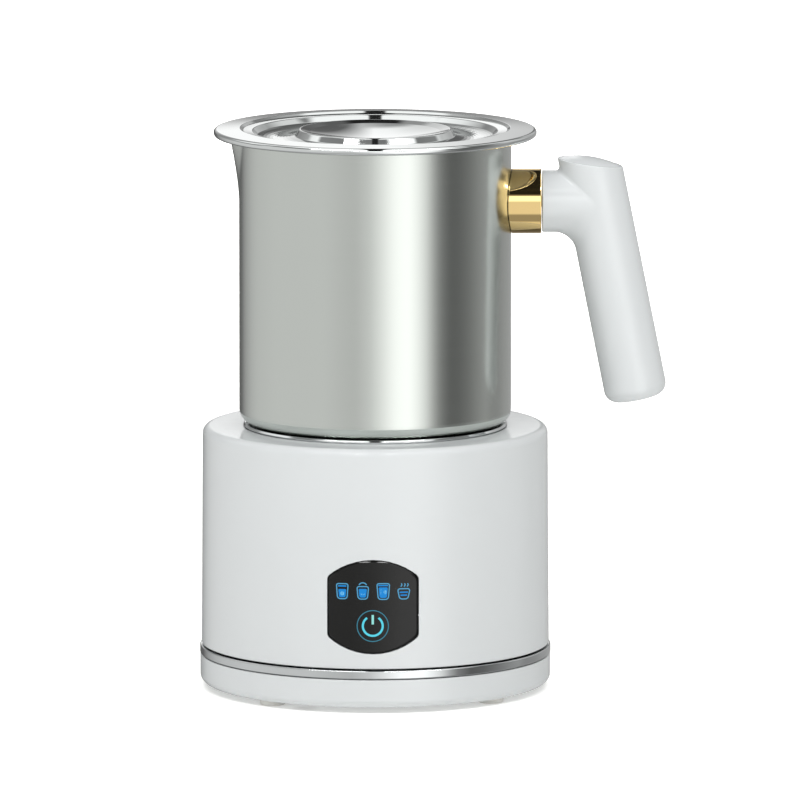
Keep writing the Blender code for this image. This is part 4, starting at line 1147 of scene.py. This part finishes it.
# %% Spout tree
def spout_tree():
    """Pushes a round wall outwards round -X, from a start height up to the rim."""
    sizes = {"Start": "Float", "Rim": "Float", "Reach": "Float", "Half Angle": "Float"}
    tree, given = new_tree("pinched_spout", sizes)
    axes = add(tree, "ShaderNodeSeparateXYZ", None, {0: add(tree, "GeometryNodeInputPosition")}).outputs
    up = add(tree, "ShaderNodeMapRange", None, {0: axes[2], 1: given["Start"], 2: given["Rim"]})
    opposite = add(tree, "ShaderNodeMath", "MULTIPLY", (axes[0], -1.0))
    away = add(tree, "ShaderNodeMath", "ARCTAN2", (axes[1], opposite))
    widening = add(tree, "ShaderNodeMath", "MULTIPLY_ADD", (up, 0.75, 0.25))
    wide = add(tree, "ShaderNodeMath", "MULTIPLY", (given["Half Angle"], widening))
    # The small constant under the root keeps the spout's tip round.
    square = add(tree, "ShaderNodeMath", "MULTIPLY_ADD", (away, away, 0.0004))
    round_tip = add(tree, "ShaderNodeMath", "SQRT", (square,))
    ratio = add(tree, "ShaderNodeMath", "DIVIDE", (round_tip, wide))
    inside = add(tree, "ShaderNodeMath", "SUBTRACT", (1.0, ratio))
    share = add(tree, "ShaderNodeMath", "MAXIMUM", (inside, 0.0))
    rising = add(tree, "ShaderNodeMath", "POWER", (up, 1.35))
    folding = add(tree, "ShaderNodeMath", "POWER", (share, 1.25))
    shape = add(tree, "ShaderNodeMath", "MULTIPLY", (rising, folding))
    push = add(tree, "ShaderNodeMath", "MULTIPLY", (shape, given["Reach"]))
    flat = add(tree, "ShaderNodeCombineXYZ", None, {0: axes[0], 1: axes[1]})
    outward = add(tree, "ShaderNodeVectorMath", "NORMALIZE", (flat,))
    offset = add(tree, "ShaderNodeVectorMath", "SCALE", {0: outward, "Scale": push})
    shifted = add(tree, "GeometryNodeSetPosition", None, {0: given[0], "Offset": offset})
    return close_tree(tree, shifted, given["Material"])


pinch = spout_tree()
print("spout nodes", len(pinch.nodes))

# %% Jug shell
SPOUT_REACH = 3.75
SPOUT_HALF_ANGLE = math.radians(14.4)
wall_rows = [SPOUT_START + 1.4 * step for step in range(17)]
inner_wall = JUG_RADIUS - 1.0
jug_corners = [(0, 96.3), (41.9, 96.3, 0.3), (41.9, 94.3, 0.3), (43.5, 94.3, 0.6), (43.5, JUG_STEP, 0.9)]
jug_corners += [(JUG_RADIUS, JUG_STEP, 5.0)]
jug_corners += [(JUG_RADIUS, height) for height in wall_rows]
jug_corners += [(JUG_RADIUS, JUG_RIM, 0.45), (inner_wall, JUG_RIM, 0.45)]
jug_corners += [(inner_wall, height) for height in reversed(wall_rows)]
jug_corners += [(inner_wall, 100.5, 4.2), (42.3, 100.5, 0.7), (42.3, 97.5, 0.7), (0, 97.5)]
jug = outline_object("jug_wall", rounded(jug_corners, steps=8), False)
run_tree(jug, lathe, {"Segments": 288, "Material": satin})
spout_sizes = {"Start": SPOUT_START * MM, "Rim": JUG_RIM * MM, "Reach": SPOUT_REACH * MM}
run_tree(jug, pinch, {**spout_sizes, "Half Angle": SPOUT_HALF_ANGLE, "Material": satin})
settle(jug)
fit(jug, "jug", "satin_steel", "jug_shell")

# %% [markdown]
# Under the floor sits a disc of magnetic steel, which the coil in the base heats, and in the middle
# stands the pin that the whisk turns on. Both are plain turned pieces.

# %% Heated disc and whisk pin
disc_corners = [
    (0, 94.3), (38.0, 94.3, 0.3), (38.3, 94.5, 0.2), (41.5, 94.5, 0.4), (41.5, 96.0, 0.3), (0, 96.0),
]
disc = turned("heated_disc", disc_corners, magnetic, segments=160)
fit(disc, "jug", "magnetic_steel", "jug_base_disc")

post_corners = [
    (0, 97.8), (7.0, 97.8, 0.2), (7.0, 98.8, 0.4), (2.0, 98.8, 0.7), (2.0, 114.0, 0.9), (0, 114.0),
]
post = turned("whisk_pin", post_corners, polished, segments=48)
fit(post, "jug", "polished_steel", "whisk_post")

# %% [markdown]
# ## The whisk
# The froth comes from a spring bent into a ring. Each point of one long curve goes round the ring
# once and round the wire's own coil many times, which is a rule, so Geometry Nodes make it.


# %% Spring ring tree
def spring_ring_tree():
    """A coiled wire bent into a level ring round the upright axis."""
    sizes = {"Ring Radius": "Float", "Coil Radius": "Float", "Wire Radius": "Float", "Height": "Float"}
    tree, given = new_tree("spring_ring", {**sizes, "Turns": "Int", "Steps per Turn": "Int"})
    steps, coil_radius = given["Steps per Turn"], given["Coil Radius"]
    total = add(tree, "ShaderNodeMath", "MULTIPLY", (given["Turns"], steps))
    path = add(tree, "GeometryNodeCurvePrimitiveCircle", None, {"Resolution": total, "Radius": 1.0})
    index = add(tree, "GeometryNodeInputIndex")
    twist = part_turn(tree, index, steps)
    cosine = add(tree, "ShaderNodeMath", "COSINE", (twist,))
    sine = add(tree, "ShaderNodeMath", "SINE", (twist,))
    radius = add(tree, "ShaderNodeMath", "MULTIPLY_ADD", (cosine, coil_radius, given["Ring Radius"]))
    level = add(tree, "ShaderNodeMath", "MULTIPLY_ADD", (sine, coil_radius, given["Height"]))
    spot = around_axis(tree, part_turn(tree, index, total), radius, level)
    bent = add(tree, "GeometryNodeSetPosition", None, {0: path, "Position": spot})
    round_wire = {"Resolution": 8, "Radius": given["Wire Radius"]}
    section = add(tree, "GeometryNodeCurvePrimitiveCircle", None, round_wire)
    swept = add(tree, "GeometryNodeCurveToMesh", None, {"Curve": bent, "Profile Curve": section})
    return close_tree(tree, swept, given["Material"])


# %% Whisk
coil = outline_object("spring_ring", [(0.0, 0.0), (1.0, 0.0)], False)
ring_sizes = {"Ring Radius": 13.6 * MM, "Coil Radius": 2.7 * MM, "Wire Radius": 0.33 * MM}
ring_sizes.update({"Height": 106.0 * MM, "Turns": 44, "Steps per Turn": 20})
run_tree(coil, spring_ring_tree(), {**ring_sizes, "Material": polished})
settle(coil, 60.0)
fit(coil, "whisk", "polished_steel", "whisk_coil")

spool_corners = [
    (2.4, 99.6), (12.9, 99.6, 0.5), (13.0, 102.6, 0.6), (10.2, 102.6, 0.8), (10.2, 109.4, 0.6),
    (11.4, 109.4, 0.3), (11.4, 110.4, 0.4), (4.6, 111.4, 1.2), (3.8, 117.0, 1.0), (0, 117.0),
    (0, 114.6), (2.4, 114.6),
]
spool = turned("whisk_spool", spool_corners, grey_plastic, True, 96)
fit(spool, "whisk", "grey_plastic", "whisk_hub")

# %% [markdown]
# ## The collar
# The collar hides the stud that holds the handle. Its inner end is scooped to sit on the jug's round
# wall, so each ring of points finds its own distance from the jug's axis.

# %% Gold-toned collar
COLLAR_RADIUS = 12.0
COLLAR_END = 61.5
COLLAR_BORE = 7.0
COLLAR_SEAT = JUG_RADIUS + 0.1
around = circle(1.0, 128)


def against_jug(radius, short=0.0):
    """A ring round the stub's axis that follows the jug's wall, this far short of the collar's end."""
    ring = []
    for y, z in around:
        x = math.sqrt(COLLAR_SEAT ** 2 - (radius * y) ** 2) + short
        ring.append((x, radius * y, STUB_HEIGHT + radius * z))
    return ring


def square_ring(radius, x):
    """A ring round the stub's axis, square to it."""
    return [(x, radius * y, STUB_HEIGHT + radius * z) for y, z in around]


# Each rounded edge is three rings, and one more close by keeps the long side's shading straight.
collar_rings = [against_jug(COLLAR_BORE), against_jug(COLLAR_RADIUS - 0.3)]
for inset, short in ((0.09, 0.09), (0.0, 0.3), (0.0, 0.4)):
    collar_rings.append(against_jug(COLLAR_RADIUS - inset, short))
for inset, short in ((0.0, 0.4), (0.0, 0.3), (0.09, 0.09), (0.3, 0.0)):
    collar_rings.append(square_ring(COLLAR_RADIUS - inset, COLLAR_END - short))
collar_rings.append(square_ring(COLLAR_BORE, COLLAR_END))
collar = mesh_object("collar", collar_rings, gold, True)
fit(collar, "jug", "gold_plate", "handle_collar")

# %% [markdown]
# ## The handle
# The handle is one moulding: a leaning round grip and a short stub that flow into each other. Two
# crossing cylinders would meet in a hard line, so the form is described by a distance instead: a
# function that says how far a point is from the skin. Two distances can be joined with a fillet of
# any radius, and the points of a rough voxel mesh then slide onto the skin.

# %% The handle's form as a distance
GRIP_RADIUS = 11.56
GRIP_EDGE = 4.5
STUB_START = 61.8
STUB_RADIUS = 11.5
LEAN = math.radians(11.3)
UNDER_FILLET = 8.0
TOP_FILLET = 1.6
GRIP_FOOT = np.array([97.2, 0.0, 108.1])
GRIP_AXIS = np.array([-math.sin(LEAN), 0.0, math.cos(LEAN)])
GRIP_SIDE = np.array([math.cos(LEAN), 0.0, math.sin(LEAN)])
CUT_INNER = np.array([68.3, 0.0, 197.9])
CUT_OUTER = np.array([91.3, 0.0, 194.8])
CUT_SLOPE = (CUT_OUTER[2] - CUT_INNER[2]) / (CUT_OUTER[0] - CUT_INNER[0])
SOFT_EDGE = 0.35
FILLET_CHANGE = 4.0


def rounded_end(side, end, edge):
    """Distance to a form with a side and a flat end, whose corner is rounded."""
    across, beyond = side + edge, end + edge
    outside = np.hypot(np.maximum(across, 0.0), np.maximum(beyond, 0.0))
    return np.minimum(np.maximum(across, beyond), 0.0) + outside - edge


def fillet_union(first, second, fillet):
    """Joins two distances with a hollow fillet where they meet."""
    near = np.hypot(np.maximum(fillet - first, 0.0), np.maximum(fillet - second, 0.0))
    return np.maximum(fillet, np.minimum(first, second)) - near


def handle_distance(points):
    """How far each point, in millimetres, is outside the handle's skin."""
    offset = points - GRIP_FOOT
    along = offset @ GRIP_AXIS
    from_grip = offset - along[:, None] * GRIP_AXIS
    from_stub = (points - np.array([0.0, 0.0, STUB_HEIGHT])) * np.array([0.0, 1.0, 1.0])
    grip_across = np.maximum(np.linalg.norm(from_grip, axis=1), 1e-6)
    stub_across = np.maximum(np.linalg.norm(from_stub, axis=1), 1e-6)
    grip = rounded_end(grip_across - GRIP_RADIUS, -along, GRIP_EDGE)
    stub = rounded_end(stub_across - STUB_RADIUS, STUB_START - points[:, 0], SOFT_EDGE)
    stub = np.maximum(stub, offset @ GRIP_SIDE)
    # The fillet is small above the stub and large below, and fades where the two skins run alike.
    facing = np.sum(from_grip * from_stub, axis=1) / (grip_across * stub_across)
    crease = 1.0 - np.clip(facing, 0.0, 1.0)
    upper = (points[:, 2] - STUB_HEIGHT + FILLET_CHANGE) / (2 * FILLET_CHANGE)
    fillet = UNDER_FILLET + (TOP_FILLET - UNDER_FILLET) * np.clip(upper, 0.0, 1.0)
    joined = fillet_union(grip, stub, fillet * crease + 0.05)
    slope = (CUT_OUTER - CUT_INNER) / np.linalg.norm(CUT_OUTER - CUT_INNER)
    normal = np.array([-slope[2], 0.0, slope[0]])
    return rounded_end(joined, (points - CUT_INNER) @ normal, SOFT_EDGE)


print("cut's slope", round(CUT_SLOPE, 3))

# %% [markdown]
# The points need a rough form to start from: a voxel skin round two crossing rods, one leaning and one
# level. Each point then steps down the distance's slope until it lies on the skin. The same slope is
# kept as the point's normal, so the shading is as smooth as the form.


# %% From a rough form to the skin
def leaning_ring(radius, along, count=64):
    """A ring square to the grip's axis."""
    centre = GRIP_FOOT + along * GRIP_AXIS
    sides = [c * GRIP_SIDE + s * np.array([0, 1, 0]) for c, s in circle(1.0, count)]
    return [tuple(centre + radius * side) for side in sides]


def slanted_ring(radius, rise, count=96):
    """A ring parallel to the grip's slanting top, raised along the grip's axis."""
    ring = []
    for point in leaning_ring(radius, 0.0, count):
        above = CUT_INNER[2] + CUT_SLOPE * (point[0] - CUT_INNER[0]) - point[2]
        along = above / (math.cos(LEAN) + CUT_SLOPE * math.sin(LEAN)) + rise
        ring.append(tuple(np.array(point) + along * GRIP_AXIS))
    return ring


def rough_handle():
    """A voxel skin round two crossing rods, near enough for its points to find the true form."""
    leaning = [leaning_ring(GRIP_RADIUS, 0.2, 96), slanted_ring(GRIP_RADIUS, 0.0)]
    level = [square_ring(STUB_RADIUS, STUB_START), square_ring(STUB_RADIUS, 80.0)]
    grip = mesh_object("handle", leaning, white_handle)
    stub = mesh_object("stub", level, white_handle)
    bm = bmesh.new()
    bm.from_mesh(grip.data)
    bm.from_mesh(stub.data)
    bm.to_mesh(grip.data)
    bm.free()
    bpy.data.objects.remove(stub, do_unlink=True)
    remesh = grip.modifiers.new("voxels", "REMESH")
    remesh.mode = "VOXEL"
    remesh.voxel_size = 0.5 * MM
    return settle(grip)


def slope_of(distance, points, step=0.01):
    """The direction in which a distance grows fastest, at each point."""
    slope = np.empty_like(points)
    for axis in range(3):
        shift = np.zeros(3)
        shift[axis] = step
        slope[:, axis] = distance(points + shift) - distance(points - shift)
    return slope / np.maximum(np.linalg.norm(slope, axis=1), 1e-9)[:, None]


def slide_to_skin(mesh, distance, rounds=8):
    """Moves every vertex down the distance's slope to the skin, and shades by that slope."""
    flat = np.empty(len(mesh.vertices) * 3)
    mesh.vertices.foreach_get("co", flat)
    points = flat.reshape(-1, 3) / MM
    for _ in range(rounds):
        gap, slope = distance(points), slope_of(distance, points)
        points = points - 0.9 * gap[:, None] * slope
    mesh.vertices.foreach_set("co", (points * MM).ravel())
    mesh.normals_split_custom_set_from_vertices(slope_of(distance, points).tolist())
    return float(np.abs(distance(points)).max())


# %% Handle
handle = rough_handle()
print("largest miss, mm", round(slide_to_skin(handle.data, handle_distance), 4))
handle.data.materials.clear()
handle.data.materials.append(white_handle)
fit(handle, "jug", "white_gloss_handle", "handle_grip")

# %% [markdown]
# A slightly domed plug closes the grip's slanting top. It is a loft of rings that follow the slant.

# %% Handle cap
CAP_RADIUS = 10.6
CAP_DOME = 1.9
CAP_STEPS = 12
cap_rings = [slanted_ring(CAP_RADIUS, -0.5), slanted_ring(CAP_RADIUS, 0.0)]
for step in range(1, CAP_STEPS):
    share = math.cos(math.pi / 2 * step / CAP_STEPS)
    cap_rings.append(slanted_ring(CAP_RADIUS * share, CAP_DOME * (1 - share ** 2)))
cap_rings.append([tuple(np.mean(slanted_ring(1.0, CAP_DOME), axis=0))])
cap = mesh_object("cap", cap_rings, white_handle)
fit(cap, "jug", "white_gloss_handle", "handle_cap")

# %% [markdown]
# ## The lid
# The lid is pressed from thin sheet: a shallow bowl in a raised boss, a trough, two steps up and a
# flange that falls gently to a rolled edge. Only the upper line is drawn, and the sheet's thickness is
# set off from it. The bowl and the trough are curved, because flat polished sheet would show one
# plain reflection.


# %% Lid
SHEET = 0.9
BOWL_DEPTH = 205.3
BOWL_RADIUS = 26.6
FLANGE_END = (57.0, 208.8)


def sheet(top, thickness):
    """The outline of a pressed sheet from the line of its upper side."""
    under = []
    for index, point in enumerate(top):
        before = top[max(index - 1, 0)]
        after = top[min(index + 1, len(top) - 1)]
        along = (after - before).normalized()
        radius = 0.0 if point.x == 0 else point.x + along.y * thickness
        under.append(Vector((radius, point.y - along.x * thickness)))
    return top + under[::-1]


bowl = [(step * 2.0, BOWL_DEPTH + 3.0 * (step * 2.0 / BOWL_RADIUS) ** 2) for step in range(13)]
trough = [(30.6 + step * 1.2, BOWL_DEPTH + 0.7 * ((step - 5) / 5) ** 2) for step in range(11)]
lid_corners = bowl + [(28.1, 208.75, 0.8), (29.6, 206.2, 0.6)] + trough
lid_corners += [(43.6, 206.3, 0.8), (45.3, 208.1, 0.7), (48.9, 208.3, 0.5), (50.0, LID_TOP, 0.5), FLANGE_END]
pressing = sheet(rounded(lid_corners, steps=8), SHEET)
split = len(pressing) // 2
roll_corners = [
    FLANGE_END, (LID_RADIUS, 208.68, 1.2), (LID_RADIUS, LID_EDGE, 1.2), (57.2, LID_EDGE, 0.5),
    (57.2, 207.9, 0.3), (57.0, 207.9),
]
roll = rounded(roll_corners, steps=8)
pressing[split:split] = roll[1:-1]
lid = turned_points("lid_pressing", pressing, polished, segments=320)
fit(lid, "lid", "polished_steel", "lid_shell")

# %% [markdown]
# Under the pressing sits a grey food-safe pan whose plug drops into the jug's mouth, with a soft ring
# in a groove round the plug. Both are turned.

# %% Lid plug and gasket
liner_corners = [
    (0, 199.0), (48.0, 199.0, 0.6), (48.0, 200.6, 0.2), (46.9, 200.6, 0.2), (46.9, 203.0, 0.2),
    (48.0, 203.0, 0.2), (48.0, LID_EDGE, 0.2), (58.4, LID_EDGE, 0.4), (58.4, 207.4, 0.3),
    (51.0, 207.3), (45.7, 204.5), (45.7, 200.4), (0, 200.4),
]
liner = turned("lid_plug", liner_corners, grey_plastic, segments=192)
fit(liner, "lid", "grey_plastic", "lid_liner")

seal_corners = [(47.1, 200.9), (48.2, 200.9, 0.2), (49.0, 201.8, 0.4), (48.2, 202.7, 0.2), (47.1, 202.7)]
seal = turned("lid_gasket", seal_corners, silicone, True, 192)
fit(seal, "lid", "silicone", "lid_seal")

# %% [markdown]
# ## What stays inside
# The drive, the heater and the electronics keep their CAD shapes, because the casings hide them. They
# still get real finishes, so that the assembly also looks right when it is taken apart.

# %% Finishes for the inner pieces
INNER = {
    zinc: ["motor_can", "motor_bracket", "motor_shaft", "handle_stud",
           *numbered("motor_screw", 2), *numbered("bracket_screw", 2)],
    board: ["control_board", "power_board"],
    clear: ["light_guide"],
    lamp_body: numbered("indicator_led", 5),
    former_plastic: ["coil_former", "magnet_carrier"],
    copper: ["induction_coil"],
    ferrite: numbered("ferrite_bar", 4),
    nickel: numbered("drive_magnet", 2) + numbered("whisk_magnet", 2),
    sleeve: ["bulk_capacitor"],
    aluminium: ["heat_sink"],
    brass: ["handle_insert"],
}
for material, names in INNER.items():
    for name in names:
        nodes[name].data.materials.clear()
        nodes[name].data.materials.append(material)
finished = sum(INNER.values(), [])
left = [name for name, node in nodes.items() if not node.hide_render and name not in finished]
print("nodes without a finish", left)
